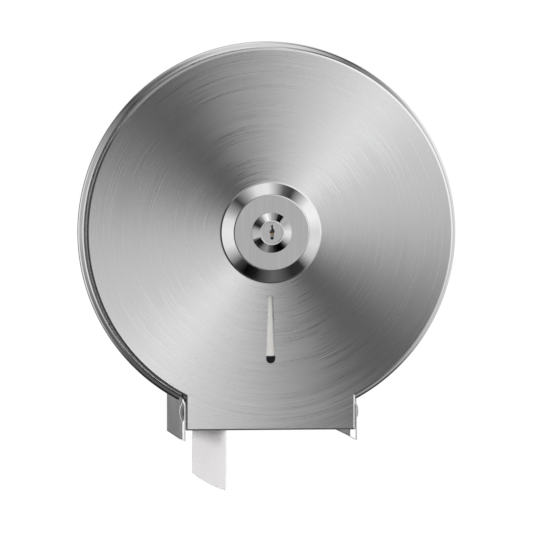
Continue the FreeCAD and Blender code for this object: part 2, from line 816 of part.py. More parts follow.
# Cam lock: barrel, front rosette, nut and washer behind the cover
barrel_front = disc_front
plug_bore = "plug_radius + plug_clearance"
keep(turned("lock_barrel", [
    (plug_bore, barrel_back),
    ("barrel_radius", barrel_back),
    ("barrel_radius", barrel_front),
    (plug_bore, barrel_front),
]), "lock_barrel")
rosette_front = disc_front + " + rosette_height"
keep(turned("lock_rosette", [
    (plug_bore, disc_front),
    ("rosette_radius", disc_front),
    ("rosette_radius", disc_front + " + rosette_edge"),
    ("rosette_lip_radius", rosette_front),
    (plug_bore, rosette_front),
]), "lock_rosette")
washer_bore = "barrel_radius + barrel_clearance"
keep(turned("lock_washer", [
    (washer_bore, inside_face + " - lock_washer_wall"),
    ("lock_washer_radius", inside_face + " - lock_washer_wall"),
    ("lock_washer_radius", inside_face),
    (washer_bore, inside_face),
]), "lock_washer")
nut_front = inside_face + " - lock_washer_wall"
nut_block = doc.addObject("Part::Prism", "nut_block")
nut_block.Polygon = NUT_SIDES
bind(nut_block, Circumradius="lock_nut_radius", Height="lock_nut_height")
nut_block.Placement = Placement(Vector(0, -total(nut_front + " - lock_nut_height"), 0), FACING_OUT)
nut_block.setExpression("Placement.Base.y", bound(negative(nut_front + " - lock_nut_height")))
nut_bore = rod("nut_bore", washer_bore, nut_front + " - lock_nut_height - overrun", nut_front + " + overrun")
keep(combined("Part::Cut", "lock_nut", nut_block, nut_bore), "lock_nut")

# Plug with its keyway, and the square tail that carries the cam
plug_front = rosette_front + " - rosette_recess"
tail_end = barrel_back + " - tail_square_length"
plug = new_body("lock_plug")
plan = new_sketch(plug, "XY_Plane", "plug_round", barrel_back)
circle(plan, "plug_radius")
pad(plug, plan, plug_front + " " + negative(barrel_back))
plan = new_sketch(plug, "XY_Plane", "plug_tail", tail_end)
polygon(plan, [
    ("- tail_square_half", "- tail_square_half"),
    ("tail_square_half", "- tail_square_half"),
    ("tail_square_half", "tail_square_half"),
    ("- tail_square_half", "tail_square_half"),
])
pad(plug, plan, "tail_square_length")
plan = new_sketch(plug, "XY_Plane", "keyway", plug_front)
polygon(plan, [("%g*plug_radius" % x, "%g*plug_radius" % y) for x, y in KEYWAY_SHARES])
pocket(plug, plan, "keyway_depth", outwards=False)
plan = new_sketch(plug, "XY_Plane", "screw_bore", tail_end)
circle(plan, "cam_screw_radius + pin_clearance")
pocket(plug, plan, "cam_screw_length + 0.5*overrun")
keep(plug, "lock_plug")

# Brass wafers, one behind another in the keyway
wafers = []
for index in range(WAFERS):
    step = " - %d*wafer_pitch" % index if index else ""
    front = plug_front + " - wafer_recess" + step
    wafers.append(box(
        "wafer_%d" % index,
        ("- wafer_half", "- wafer_height", front + " - wafer_wall"),
        ("wafer_half", "0", front),
    ))
group("lock_wafers", wafers)

# Cam and its screw
cam_front = barrel_back + " - cam_lead"
cam_back = cam_front + " - cam_wall"
cam_hub = rod("cam_hub", "cam_hub_radius", cam_back, cam_front)
cam_blade = box(
    "cam_blade",
    ("- cam_half", "0", cam_back),
    ("cam_half", "cam_reach", cam_front),
)
cam_sweep = rod("cam_sweep", "cam_reach", cam_back, cam_front)
cam_blank = combined("Part::Fuse", "cam_blank", cam_hub, cam_blade)
cam_shape = combined("Part::Common", "cam_shape", cam_blank, cam_sweep)
cam_square = box(
    "cam_square",
    ("- tail_square_half - pin_clearance", "- tail_square_half - pin_clearance", cam_back + " - overrun"),
    ("tail_square_half + pin_clearance", "tail_square_half + pin_clearance", cam_front + " + overrun"),
)
keep(combined("Part::Cut", "lock_cam", cam_shape, cam_square), "lock_cam")
keep(turned("cam_screw", [
    ("0", tail_end + " - cam_screw_head_height"),
    ("cam_screw_head_radius", tail_end + " - cam_screw_head_height"),
    ("cam_screw_head_radius", tail_end),
    ("cam_screw_radius", tail_end),
    ("cam_screw_radius", tail_end + " + cam_screw_length"),
    ("0", tail_end + " + cam_screw_length"),
]), "cam_screw")

doc.recompute()

for item in doc.Objects:
    if "Invalid" in item.State or "Error" in item.State:
        raise ValueError("%s is %s" % (item.Label, item.State))
os.makedirs("parts", exist_ok=True)
for piece in pieces:
    if piece.Shape.isNull() or not piece.Shape.isValid():
        raise ValueError(piece.Label + " has no sound shape")
for piece in pieces:
    piece.Shape.exportStep("parts/" + piece.Label + ".step")
    print("%-20s %2d solids %12.2f mm3" % (piece.Label, len(piece.Shape.Solids), piece.Shape.Volume))
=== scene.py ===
"""Jumbo toilet roll dispenser in brushed stainless steel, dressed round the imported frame."""

import bmesh
import bpy
import math
from mathutils import Matrix, Vector


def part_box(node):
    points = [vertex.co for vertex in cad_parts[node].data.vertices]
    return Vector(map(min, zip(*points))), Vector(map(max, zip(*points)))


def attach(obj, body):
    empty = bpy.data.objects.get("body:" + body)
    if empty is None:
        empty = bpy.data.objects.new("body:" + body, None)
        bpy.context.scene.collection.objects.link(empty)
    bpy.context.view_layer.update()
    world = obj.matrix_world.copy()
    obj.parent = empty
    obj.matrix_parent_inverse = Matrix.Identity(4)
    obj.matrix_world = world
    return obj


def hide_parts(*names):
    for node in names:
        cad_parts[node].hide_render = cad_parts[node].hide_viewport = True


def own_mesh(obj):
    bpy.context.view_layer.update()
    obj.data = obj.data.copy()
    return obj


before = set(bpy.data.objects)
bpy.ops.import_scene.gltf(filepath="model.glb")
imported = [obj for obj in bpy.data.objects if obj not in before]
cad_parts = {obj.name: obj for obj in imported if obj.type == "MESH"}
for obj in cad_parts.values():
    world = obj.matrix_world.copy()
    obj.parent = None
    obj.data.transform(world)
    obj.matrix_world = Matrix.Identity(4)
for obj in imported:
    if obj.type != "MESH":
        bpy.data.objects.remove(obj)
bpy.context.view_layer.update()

# The shell: drum, flange and cheeks bent from one sheet of stainless steel, with a saw edge under
# each cheek. The sheet is brushed along its length, so the lines run round the drum.
SHELL_STEEL = "#bebebf"
# the back plate's grey is partly its own mill finish and partly painted shade, darker than plain
# steel so that the drum's inside reads dark
BACK_STEEL_AND_PAINTED_SHADE = "#66676a"
SHEET_GRAIN = 0.0007
ACROSS_SHEET = (0.02, 1.0, 0.01)
LINE_STRETCH = 0.02
LINE_DEPTH = 0.00002
CLOUDS_PER_METRE = 22.0


def linear(colour):
    """A hex sRGB colour as linear red, green, blue and full alpha."""
    parts = [int(colour[i:i + 2], 16) / 255 for i in (1, 3, 5)]
    return [p / 12.92 if p < 0.04045 else ((p + 0.055) / 1.055) ** 2.4 for p in parts] + [1.0]


def shaded(colour, share):
    """A hex colour as linear light, times a share."""
    return [part * share for part in linear(colour)[:3]] + [1.0]


def add(tree, kind, inputs=None, **settings):
    """Adds a node, sets its properties, and fills or links its inputs."""
    item = tree.nodes.new(kind)
    for name, value in settings.items():
        setattr(item, name, value)
    for key, value in (inputs or {}).items():
        if isinstance(value, bpy.types.NodeSocket):
            tree.links.new(value, item.inputs[key])
        else:
            item.inputs[key].default_value = value
    return item


def new_material(name):
    """An empty node material, and the object's own coordinates in metres."""
    finish = bpy.data.materials.new(name)
    finish.use_nodes = True
    finish.node_tree.nodes.clear()
    place = add(finish.node_tree, "ShaderNodeTexCoord")
    return finish, finish.node_tree, place.outputs["Object"]


def close_material(tree, shader):
    """Links a shader to the surface output."""
    add(tree, "ShaderNodeOutputMaterial", {"Surface": shader.outputs[0]})


def ramp(tree, factor, stops, smooth="LINEAR"):
    """A colour ramp through stops given as place and grey level or colour."""
    band = add(tree, "ShaderNodeValToRGB", {"Fac": factor})
    band.color_ramp.interpolation = smooth
    while len(band.color_ramp.elements) < len(stops):
        band.color_ramp.elements.new(0.5)
    for element, (at, value) in zip(band.color_ramp.elements, stops):
        element.position = at
        element.color = value if isinstance(value, list) else [value, value, value, 1.0]
    return band.outputs["Color"]


def straight_brushed(name, colour, pitch, across, roughness, anisotropy=0.0, grain=None):
    """Metal brushed in straight lines, set side by side along the axis named across."""
    finish, tree, place = new_material(name)
    scale = [LINE_STRETCH / pitch] * 3
    scale["XYZ".index(across)] = 1 / pitch
    stretch = add(tree, "ShaderNodeMapping", {"Vector": place, "Scale": scale})
    lines = add(tree, "ShaderNodeTexNoise", {
        "Vector": stretch.outputs[0], "Scale": 1.0, "Detail": 3.0, "Roughness": 0.6})
    clouds = add(tree, "ShaderNodeTexNoise", {
        "Vector": place, "Scale": CLOUDS_PER_METRE, "Detail": 2.0})
    tone = add(tree, "ShaderNodeMix", {
        "Factor": ramp(tree, lines.outputs["Fac"], [(0.3, 0.0), (0.7, 1.0)]),
        "A": linear(colour), "B": shaded(colour, 0.88)}, data_type="RGBA")
    rough = add(tree, "ShaderNodeMapRange", {
        "Value": clouds.outputs["Fac"], "From Min": 0.3, "From Max": 0.7,
        "To Min": roughness - 0.03, "To Max": roughness + 0.05})
    bump = add(tree, "ShaderNodeBump", {
        "Height": lines.outputs["Fac"], "Strength": 0.2, "Distance": LINE_DEPTH})
    shader = add(tree, "ShaderNodeBsdfPrincipled", {
        "Base Color": tone.outputs["Result"], "Metallic": 1.0, "Roughness": rough.outputs["Result"],
        "Anisotropic": anisotropy, "Normal": bump.outputs["Normal"]})
    if grain:
        side = add(tree, "ShaderNodeCombineXYZ", dict(zip("XYZ", grain)))
        tree.links.new(side.outputs[0], shader.inputs["Tangent"])
    close_material(tree, shader)
    return finish


def dress(node, finish):
    """Gives a CAD node its finish."""
    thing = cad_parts[node]
    thing.data.materials.clear()
    thing.data.materials.append(finish)
    return thing


shell_steel = straight_brushed("brushed_shell_steel", SHELL_STEEL, SHEET_GRAIN, "Y", 0.42, 0.8,
                               ACROSS_SHEET)
# the back plate is painted darker than its steel, as painted shade for the inside of the drum
back_steel = straight_brushed("mill_back_steel_and_painted_shade", BACK_STEEL_AND_PAINTED_SHADE, 2 * SHEET_GRAIN, "X", 0.45)
dress("housing", shell_steel)
dress("back_plate", back_steel)

# The rim: the flange's edge is rolled over into a bead with a flatter lip on each side of a steeper
# band, all polished. It frames the cover and ends at the throat.
RIM_STEEL = "#dadadb"
RIM_STEPS = 360
INNER_ROUND = 0.0002
LIP_SLOPE = 27
LIP_WIDTH = 0.0008
BAND_SLOPE = 35
BAND_WIDTH = 0.002
ROLLED_EDGE = 0.0012
CHEEK_WALL = 0.001
WIPES_PER_METRE = 60.0


def span(node):
    """A round node's radius, and how far its back and its front stand from the wall."""
    low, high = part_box(node)
    return high.x, -high.y, -low.y


def polished(name, colour, roughness, smudge=0.05):
    """Polished or plated metal with faint wipe marks."""
    finish, tree, place = new_material(name)
    wipes = add(tree, "ShaderNodeTexNoise", {
        "Vector": place, "Scale": WIPES_PER_METRE, "Detail": 4.0, "Roughness": 0.55,
        "Distortion": 0.6})
    rough = add(tree, "ShaderNodeMapRange", {
        "Value": wipes.outputs["Fac"], "From Min": 0.35, "From Max": 0.75,
        "To Min": roughness, "To Max": roughness + smudge})
    tone = add(tree, "ShaderNodeMix", {
        "Factor": wipes.outputs["Fac"], "A": linear(colour),
        "B": shaded(colour, 0.93)}, data_type="RGBA")
    shader = add(tree, "ShaderNodeBsdfPrincipled", {
        "Base Color": tone.outputs["Result"], "Metallic": 1.0,
        "Roughness": rough.outputs["Result"]})
    close_material(tree, shader)
    return finish


def arc(centre_radius, centre_depth, size, first, last, steps):
    """Points of a round corner in a profile, from one angle to another in degrees."""
    points = []
    for index in range(steps + 1):
        turn = math.radians(first + (last - first) * index / steps)
        points.append((centre_radius + size * math.cos(turn), centre_depth + size * math.sin(turn)))
    return points


def lathe(name, profile, finish, steps=256, first=0.0, last=360.0, sharp=32):
    """A closed profile of radius and depth turned about the spindle axis, with its ends closed."""
    whole = last - first > 359.9
    rows = steps if whole else steps + 1
    corners = []
    for row in range(rows):
        turn = math.radians(first + (last - first) * row / steps)
        for radius, depth in profile:
            corners.append((radius * math.cos(turn), -depth, radius * math.sin(turn)))
    count = len(profile)
    faces = side_faces(steps, rows, count)
    if not whole:
        faces.append(tuple(reversed(range(count))))
        faces.append(tuple((rows - 1) * count + index for index in range(count)))
    return solid(name, corners, faces, finish, sharp)


def side_faces(steps, rows, count):
    """Faces in so many steps from row to row of corners, each row a closed loop."""
    return [(row * count + index, row * count + (index + 1) % count,
             (row + 1) % rows * count + (index + 1) % count, (row + 1) % rows * count + index)
            for row in range(steps) for index in range(count)]


def solid(name, corners, faces, finish, sharp=32):
    """A mesh object with outward faces and smooth shading between gentle edges."""
    mesh = bpy.data.meshes.new(name)
    mesh.from_pydata(corners, [], faces)
    mesh.validate()
    thing = enter(name, mesh)
    outwards(mesh)
    mesh.shade_smooth()
    mesh.set_sharp_from_angle(angle=math.radians(sharp))
    mesh.materials.append(finish)
    return thing


def enter(name, data):
    """A new object in the scene, with its mesh, lamp or camera."""
    thing = bpy.data.objects.new(name, data)
    bpy.context.scene.collection.objects.link(thing)
    return thing


def outwards(mesh):
    """Merges doubles, drops empty faces and turns every face outwards."""
    work = bmesh.new()
    work.from_mesh(mesh)
    bmesh.ops.remove_doubles(work, verts=work.verts, dist=1e-7)
    bmesh.ops.dissolve_degenerate(work, edges=work.edges, dist=1e-8)
    bmesh.ops.recalc_face_normals(work, faces=work.faces)
    work.to_mesh(mesh)
    work.free()


def replace(piece, node, body):
    """Puts a piece in a CAD node's place, on its body, and hides the node."""
    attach(piece, body)
    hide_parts(node)


rim_steel = polished("polished_rim_steel", RIM_STEEL, 0.07, 0.05)
rim_reach, rim_back, rim_front = span("rim_bead")
rim_width = rim_front - rim_back
throat_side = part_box("tear_plate_right")[1].x + CHEEK_WALL
rim_mouth = math.degrees(math.asin(throat_side / (rim_reach - 0.5 * rim_width)))
rim_inner = rim_reach - rim_width
lip_turn = math.radians(90 - LIP_SLOPE)
rim_profile = arc(rim_inner + INNER_ROUND, rim_front - INNER_ROUND, INNER_ROUND,
                  180, 90 - LIP_SLOPE, 8)
for width, slope in ((LIP_WIDTH, LIP_SLOPE), (BAND_WIDTH, BAND_SLOPE), (LIP_WIDTH, LIP_SLOPE)):
    radius, depth = rim_profile[-1]
    rim_profile.append((radius + width, depth - width * math.tan(math.radians(slope))))
radius, depth = rim_profile[-1]
outer_round = (rim_reach - radius) / (1 - math.cos(lip_turn))
rim_profile += arc(rim_reach - outer_round, depth - outer_round * math.sin(lip_turn), outer_round,
                   90 - LIP_SLOPE, 0, 14)[1:]
rim_profile += arc(rim_reach - ROLLED_EDGE, rim_back + ROLLED_EDGE, ROLLED_EDGE, 0, -90, 20)
rim_profile += arc(rim_inner + 0.5 * ROLLED_EDGE, rim_back + 0.5 * ROLLED_EDGE, 0.5 * ROLLED_EDGE,
                   -90, -180, 5)
rim = lathe("rolled_rim", rim_profile, rim_steel, RIM_STEPS, -90 + rim_mouth, 270 - rim_mouth, 5)
replace(rim, "rim_bead", "housing")

# The throat's front plates: short polished plates lapped inside the cheeks, and the two rivets
# with broad domed heads on which the cover's chin swings.
PLATE_STEEL = "#dddddd"
RIVET_STEEL = "#d2d2d2"
HINGE_HEAD = 0.00725
HINGE_RISE = 0.0022
HINGE_PIN = 0.003
HINGE_FOOT = 0.005
HINGE_FOOT_WIDTH = 0.0012
HEAD_STEPS = 18
plate_steel = polished("polished_throat_plate", PLATE_STEEL, 0.16, 0.08)
rivet_steel = polished("polished_rivet_steel", RIVET_STEEL, 0.14, 0.06)
for side, mirror in (("left", -1), ("right", 1)):
    dress("tear_plate_" + side, plate_steel)
    hinge_low, hinge_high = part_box("hinge_rivet_" + side)
    length = hinge_high.x - hinge_low.x
    ball = (HINGE_HEAD ** 2 + HINGE_RISE ** 2) / (2 * HINGE_RISE)
    hinge_profile = [(0.0, 0.0), (HINGE_FOOT, 0.0), (HINGE_FOOT, HINGE_FOOT_WIDTH),
                     (HINGE_PIN, HINGE_FOOT_WIDTH), (HINGE_PIN, length - HINGE_RISE)]
    for step in range(HEAD_STEPS + 1):
        radius = HINGE_HEAD * (1 - step / HEAD_STEPS)
        hinge_profile.append((radius, length - ball + math.sqrt(ball ** 2 - radius ** 2)))
    rivet = lathe("hinge_rivet_head_" + side, hinge_profile, rivet_steel, 64)
    swing = (hinge_low + hinge_high) / 2
    foot = hinge_low.x if mirror > 0 else hinge_high.x
    rivet.data.transform(Matrix.Translation((foot, swing.y, swing.z))
                         @ Matrix.Rotation(math.radians(mirror * 90), 4, "Z"))
    replace(rivet, "hinge_rivet_" + side, "housing")

# The spindle: a steel tube riveted to the back plate, with a collar, a slotted striker disc in
# its mouth and a plain snap ring. A nylon washer keeps the hub off the collar.
POST_STEEL = "#ababab"
POST_RIVETS = 4
RIVET_SHANK = 0.0016
RIVET_HEAD = 0.003
RIVET_RISE = 0.0012
RIVET_DOME = ((1.0, 1.0), (1.0, 0.8), (0.9, 0.5), (0.72, 0.23), (0.4, 0.04), (0.0, 0.0))
ZINC_STEEL = "#9d9d9b"
NYLON = "#dcd8cc"
FLOWS_PER_METRE = 35.0
SKIN_DEPTH = 0.0001
post_steel = straight_brushed("turned_post_steel", POST_STEEL, 0.0008, "Y", 0.3)
zinc_steel = straight_brushed("zinc_plated_steel", ZINC_STEEL, 0.0012, "Z", 0.4)


def moulded(name, colour, roughness, grain, relief, coat=0.0):
    """Moulded plastic or rubber: a fine spark eroded skin with slow changes of gloss."""
    finish, tree, place = new_material(name)
    skin = add(tree, "ShaderNodeTexNoise", {"Vector": place, "Scale": 1 / grain, "Detail": 2.0})
    flow = add(tree, "ShaderNodeTexNoise", {
        "Vector": place, "Scale": FLOWS_PER_METRE, "Detail": 2.0})
    tone = add(tree, "ShaderNodeMix", {
        "Factor": flow.outputs["Fac"], "A": linear(colour),
        "B": shaded(colour, 0.88)}, data_type="RGBA")
    rough = add(tree, "ShaderNodeMapRange", {
        "Value": flow.outputs["Fac"], "From Min": 0.3, "From Max": 0.7,
        "To Min": roughness - 0.05, "To Max": roughness + 0.07})
    bump = add(tree, "ShaderNodeBump", {
        "Height": skin.outputs["Fac"], "Strength": relief, "Distance": SKIN_DEPTH})
    shader = add(tree, "ShaderNodeBsdfPrincipled", {
        "Base Color": tone.outputs["Result"], "Roughness": rough.outputs["Result"],
        "Normal": bump.outputs["Normal"], "Coat Weight": coat})
    close_material(tree, shader)
    return finish


def set_out(unit, finish, count, track=0.0, first=0.0, step=0.0, pitch=0.0):
    """Repeats a unit mesh in a ring about the spindle axis, or in a row into the depth."""
    tree = bpy.data.node_groups.new("set out", "GeometryNodeTree")
    values = {"Count": count, "Track": track, "First": math.radians(first),
              "Step": math.radians(step), "Pitch": pitch, "Finish": finish}
    tree.interface.new_socket("Unit", in_out="INPUT", socket_type="NodeSocketGeometry")
    for name in values:
        kind = {"Count": "NodeSocketInt", "Finish": "NodeSocketMaterial"}.get(
            name, "NodeSocketFloat")
        tree.interface.new_socket(name, in_out="INPUT", socket_type=kind)
    tree.interface.new_socket("Pieces", in_out="OUTPUT", socket_type="NodeSocketGeometry")
    given = add(tree, "NodeGroupInput").outputs
    number = add(tree, "GeometryNodeInputIndex").outputs[0]
    turn = add(tree, "ShaderNodeMath", {0: number, 1: given["Step"], 2: given["First"]},
               operation="MULTIPLY_ADD").outputs[0]
    across = add(tree, "ShaderNodeMath", {0: turn}, operation="COSINE").outputs[0]
    up = add(tree, "ShaderNodeMath", {0: turn}, operation="SINE").outputs[0]
    spoke = add(tree, "ShaderNodeCombineXYZ", {"X": across, "Z": up}).outputs[0]
    spot = add(tree, "ShaderNodeVectorMath", {0: spoke, "Scale": given["Track"]}, operation="SCALE")
    along = add(tree, "ShaderNodeMath", {0: number, 1: given["Pitch"]}, operation="MULTIPLY")
    along = add(tree, "ShaderNodeCombineXYZ", {"Y": along.outputs[0]})
    spot = add(tree, "ShaderNodeVectorMath", {0: spot.outputs[0], 1: along.outputs[0]})
    back_turn = add(tree, "ShaderNodeMath", {0: turn, 1: -1.0}, operation="MULTIPLY")
    facing = add(tree, "ShaderNodeCombineXYZ", {"Y": back_turn.outputs[0]})
    points = add(tree, "GeometryNodePoints", {"Count": given["Count"], "Position": spot.outputs[0]})
    copies = add(tree, "GeometryNodeInstanceOnPoints", {
        "Points": points.outputs[0], "Instance": given["Unit"], "Rotation": facing.outputs[0]})
    whole = add(tree, "GeometryNodeRealizeInstances", {"Geometry": copies.outputs[0]})
    dressed = add(tree, "GeometryNodeSetMaterial", {
        "Geometry": whole.outputs[0], "Material": given["Finish"]})
    add(tree, "NodeGroupOutput", {0: dressed.outputs[0]})
    change = unit.modifiers.new("set out", "NODES")
    change.node_group = tree
    for item in tree.interface.items_tree:
        if item.in_out == "INPUT" and item.name in values:
            change[item.identifier] = values[item.name]
    settle(unit)


def settle(thing):
    """Turns an object with its modifiers into a plain mesh."""
    shaped = thing.evaluated_get(bpy.context.evaluated_depsgraph_get())
    flat = bpy.data.meshes.new_from_object(shaped)
    thing.modifiers.clear()
    thing.data = flat


nylon = moulded("natural_nylon", NYLON, 0.45, 0.0006, 0.1)
dress("spindle_post", post_steel)
dress("striker_disc", post_steel)
dress("hub_washer", nylon)
dress("hub_retainer", zinc_steel)
rivet_reach, _, rivet_front = span("post_rivets")
rivets = lathe("foot_rivets", (
    [(0.0, 0.0), (RIVET_SHANK, 0.0), (RIVET_SHANK, rivet_front - RIVET_RISE)]
    + [(share * RIVET_HEAD, rivet_front - fall * RIVET_RISE) for share, fall in RIVET_DOME]),
    rivet_steel, 32, sharp=40)
set_out(rivets, rivet_steel, POST_RIVETS, rivet_reach - RIVET_HEAD, 0, 360 / POST_RIVETS)
replace(rivets, "post_rivets", "housing")

# The hub: a black spool moulded in one piece, with a flange at the back and six tapered ribs
# between its bore and its tube. It turns on the post and carries the roll.
HUB_BLACK = "#232426"
HUB_WALL = 0.002
HUB_FLANGE = 0.0026
HUB_TUBE = 0.028
HUB_ROUND = 0.0004
HUB_RIBS = 6
RIB_FOOT = 0.00095
RIB_TOP = 0.0006
RETAINER_WIDTH = 0.00394


def capped_faces(rows, count):
    """Faces of a solid given by rows of corners: its first and last row, then the sides."""
    ends = [tuple(range(count)), tuple(range((rows - 1) * count, rows * count))]
    return ends + side_faces(rows - 1, rows, count)


hub_plastic = moulded("black_hub_plastic", HUB_BLACK, 0.42, 0.0005, 0.15)
hub_radius, hub_back, hub_front = span("hub_sleeve")
hub_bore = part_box("hub_retainer")[1].x - RETAINER_WIDTH
flange_front = hub_back + HUB_FLANGE
hub = lathe("moulded_hub", (
    [(hub_bore, hub_back)]
    + arc(hub_radius - HUB_ROUND, hub_back + HUB_ROUND, HUB_ROUND, -90, 0, 4)
    + arc(hub_radius - HUB_ROUND, flange_front - HUB_ROUND, HUB_ROUND, 0, 90, 4)
    + [(HUB_TUBE, flange_front)]
    + arc(HUB_TUBE - HUB_ROUND, hub_front - HUB_ROUND, HUB_ROUND, 0, 90, 4)
    + arc(HUB_TUBE - HUB_WALL + HUB_ROUND, hub_front - HUB_ROUND, HUB_ROUND, 90, 180, 4)
    + [(HUB_TUBE - HUB_WALL, flange_front), (hub_bore + HUB_WALL, flange_front)]
    + arc(hub_bore + HUB_WALL - HUB_ROUND, hub_front - HUB_ROUND, HUB_ROUND, 0, 90, 4)
    + [(hub_bore, hub_front)]), hub_plastic, 128)
rib_front = hub_front - HUB_WALL
rib_outline = [(-RIB_FOOT, flange_front - HUB_ROUND), (-RIB_TOP, rib_front - HUB_ROUND),
               (-0.6 * RIB_TOP, rib_front), (0.6 * RIB_TOP, rib_front),
               (RIB_TOP, rib_front - HUB_ROUND), (RIB_FOOT, flange_front - HUB_ROUND)]
rib_corners = [(radius, -depth, side)
               for radius in (hub_bore + 0.6 * HUB_WALL, HUB_TUBE - 0.6 * HUB_WALL)
               for side, depth in rib_outline]
ribs = solid("hub_ribs", rib_corners, capped_faces(2, len(rib_outline)), hub_plastic, 40)
set_out(ribs, hub_plastic, HUB_RIBS, 0.0, 0, 360 / HUB_RIBS)
replace(hub, "hub_sleeve", "roll")
replace(ribs, "hub_sleeve", "roll")

# The core: a tube of grey brown board, wound and glued in a spiral whose seam shows on its face
# and inside. It is pushed on the hub's tube.
CORE_BOARD = "#9c8467"
SEAM_PITCH = 0.055
FIBRES_PER_METRE = 900.0
SPECKS_PER_METRE = 420.0
SPECK_DEPTH = 0.00015


def turns_round(tree, axes):
    """How many turns a point lies round the Y axis, counted from the right."""
    angle = add(tree, "ShaderNodeMath", {0: axes.outputs["Z"], 1: axes.outputs["X"]},
                operation="ARCTAN2")
    return add(tree, "ShaderNodeMath", {0: angle.outputs[0], 1: 1 / (2 * math.pi)},
               operation="MULTIPLY")


finish, tree, place = new_material("spiral_wound_board")
fibres = add(tree, "ShaderNodeTexNoise", {
    "Vector": place, "Scale": FIBRES_PER_METRE, "Detail": 4.0})
specks = add(tree, "ShaderNodeTexVoronoi", {"Vector": place, "Scale": SPECKS_PER_METRE})
ways = add(tree, "ShaderNodeSeparateXYZ", {0: place})
turn = turns_round(tree, ways)
wound = add(tree, "ShaderNodeMath", {0: ways.outputs["Y"], 1: 1 / SEAM_PITCH, 2: turn.outputs[0]},
            operation="MULTIPLY_ADD")
wound = add(tree, "ShaderNodeMath", {0: wound.outputs[0]}, operation="FRACT")
seam = ramp(tree, wound.outputs[0], [(0.0, 0.45), (0.012, 0.45), (0.02, 1.0), (1.0, 1.0)])
board_grain = add(tree, "ShaderNodeMix", {
    "Factor": ramp(tree, fibres.outputs["Fac"], [(0.35, 0.0), (0.7, 1.0)]),
    "A": linear(CORE_BOARD), "B": shaded(CORE_BOARD, 0.72)}, data_type="RGBA")
board_tone = add(tree, "ShaderNodeMix", {
    "Factor": 1.0, "A": board_grain.outputs["Result"], "B": seam}, data_type="RGBA",
    blend_type="MULTIPLY")
board_bump = add(tree, "ShaderNodeBump", {
    "Height": specks.outputs["Distance"], "Strength": 0.3, "Distance": SPECK_DEPTH})
shader = add(tree, "ShaderNodeBsdfPrincipled", {
    "Base Color": board_tone.outputs["Result"], "Roughness": 0.85,
    "Normal": board_bump.outputs["Normal"]})
close_material(tree, shader)
dress("roll_core", finish)

# The paper roll: soft two ply tissue wound tight, with slightly rounded edges. Its faces show the
# wound layers as fine rings, and its outside the small embossed dots.
TISSUE = "#f1eff0"
TISSUE_SHADE = "#dedadb"
WOUND_EDGES = "#f3f2f0"
WOUND_SHADE = "#d9d6d1"
LAYER_RINGS = 34
LAYER_DEPTH = 0.00012
ROLL_EDGE = 0.0012
WOUND_GAP = 0.0001
BORE_EDGE = 0.0002
DOT_PITCH = 0.003
DOT_SHARE = 0.4
DOT_DEPTH = 0.0003
LAYER_PITCH = 0.0004
LAYER_RELIEF = 0.0001
PAPER_FIBRES = 700.0
PAPER_CLOUDS = 70.0


def off_axis(tree, place, operation):
    """The distance from the spindle axis, as LENGTH, or the way from it, as NORMALIZE."""
    flat = add(tree, "ShaderNodeVectorMath", {0: place, 1: (1.0, 0.0, 1.0)}, operation="MULTIPLY")
    return add(tree, "ShaderNodeVectorMath", {0: flat.outputs[0]}, operation=operation)


def tissue_finish(name, dotted):
    """Soft white tissue: pressed dots in rows on the sheet, or the layers' edges on an end."""
    finish, tree, place = new_material(name)
    fibres = add(tree, "ShaderNodeTexNoise", {
        "Vector": place, "Scale": PAPER_FIBRES, "Detail": 5.0})
    clouds = add(tree, "ShaderNodeTexNoise", {
        "Vector": place, "Scale": PAPER_CLOUDS, "Detail": 3.0})
    if dotted:
        chart = add(tree, "ShaderNodeUVMap", uv_map="length")
        grid = add(tree, "ShaderNodeMapping", {
            "Vector": chart.outputs["UV"], "Rotation": (0.0, 0.0, math.radians(45)),
            "Scale": (1 / DOT_PITCH, 1 / DOT_PITCH, 1.0)})
        cell = add(tree, "ShaderNodeVectorMath", {0: grid.outputs[0]}, operation="FRACTION")
        middle = add(tree, "ShaderNodeVectorMath", {0: cell.outputs[0], 1: (0.5, 0.5, 0.0)},
                     operation="DISTANCE")
        relief = ramp(tree, middle.outputs["Value"], [(0.0, 1.0), (DOT_SHARE, 0.0)], "EASE")
    else:
        radius = off_axis(tree, place, "LENGTH")
        layers = add(tree, "ShaderNodeMath", {0: radius.outputs["Value"], 1: 1 / LAYER_PITCH},
                     operation="MULTIPLY")
        layers = add(tree, "ShaderNodeTexNoise", {
            "W": layers.outputs[0], "Scale": 1.0, "Detail": 2.0}, noise_dimensions="1D")
        relief = layers.outputs["Fac"]
    # the clouds are the paper's own uneven tone; the pressed dots and the grooves between the
    # layers are also painted darker, as painted shade in their hollows
    shade = add(tree, "ShaderNodeMath", {0: relief, 1: 0.35}, operation="MULTIPLY")
    both = add(tree, "ShaderNodeMath", {0: clouds.outputs["Fac"], 1: 0.35, 2: shade.outputs[0]},
               operation="MULTIPLY_ADD")
    tone = add(tree, "ShaderNodeMix", {
        "Factor": both.outputs[0], "A": linear(TISSUE if dotted else WOUND_EDGES),
        "B": linear(TISSUE_SHADE if dotted else WOUND_SHADE)}, data_type="RGBA")
    pressed = add(tree, "ShaderNodeMath", {0: fibres.outputs["Fac"], 1: 0.25}, operation="MULTIPLY")
    height = add(tree, "ShaderNodeMath", {0: pressed.outputs[0], 1: relief}, operation="SUBTRACT")
    bump = add(tree, "ShaderNodeBump", {
        "Height": height.outputs[0], "Strength": 1.0,
        "Distance": DOT_DEPTH if dotted else LAYER_RELIEF})
    shader = add(tree, "ShaderNodeBsdfPrincipled", {
        "Base Color": tone.outputs["Result"], "Roughness": 0.9, "Specular IOR Level": 0.2,
        "Sheen Weight": 0.15, "Normal": bump.outputs["Normal"]})
    close_material(tree, shader)
    return finish


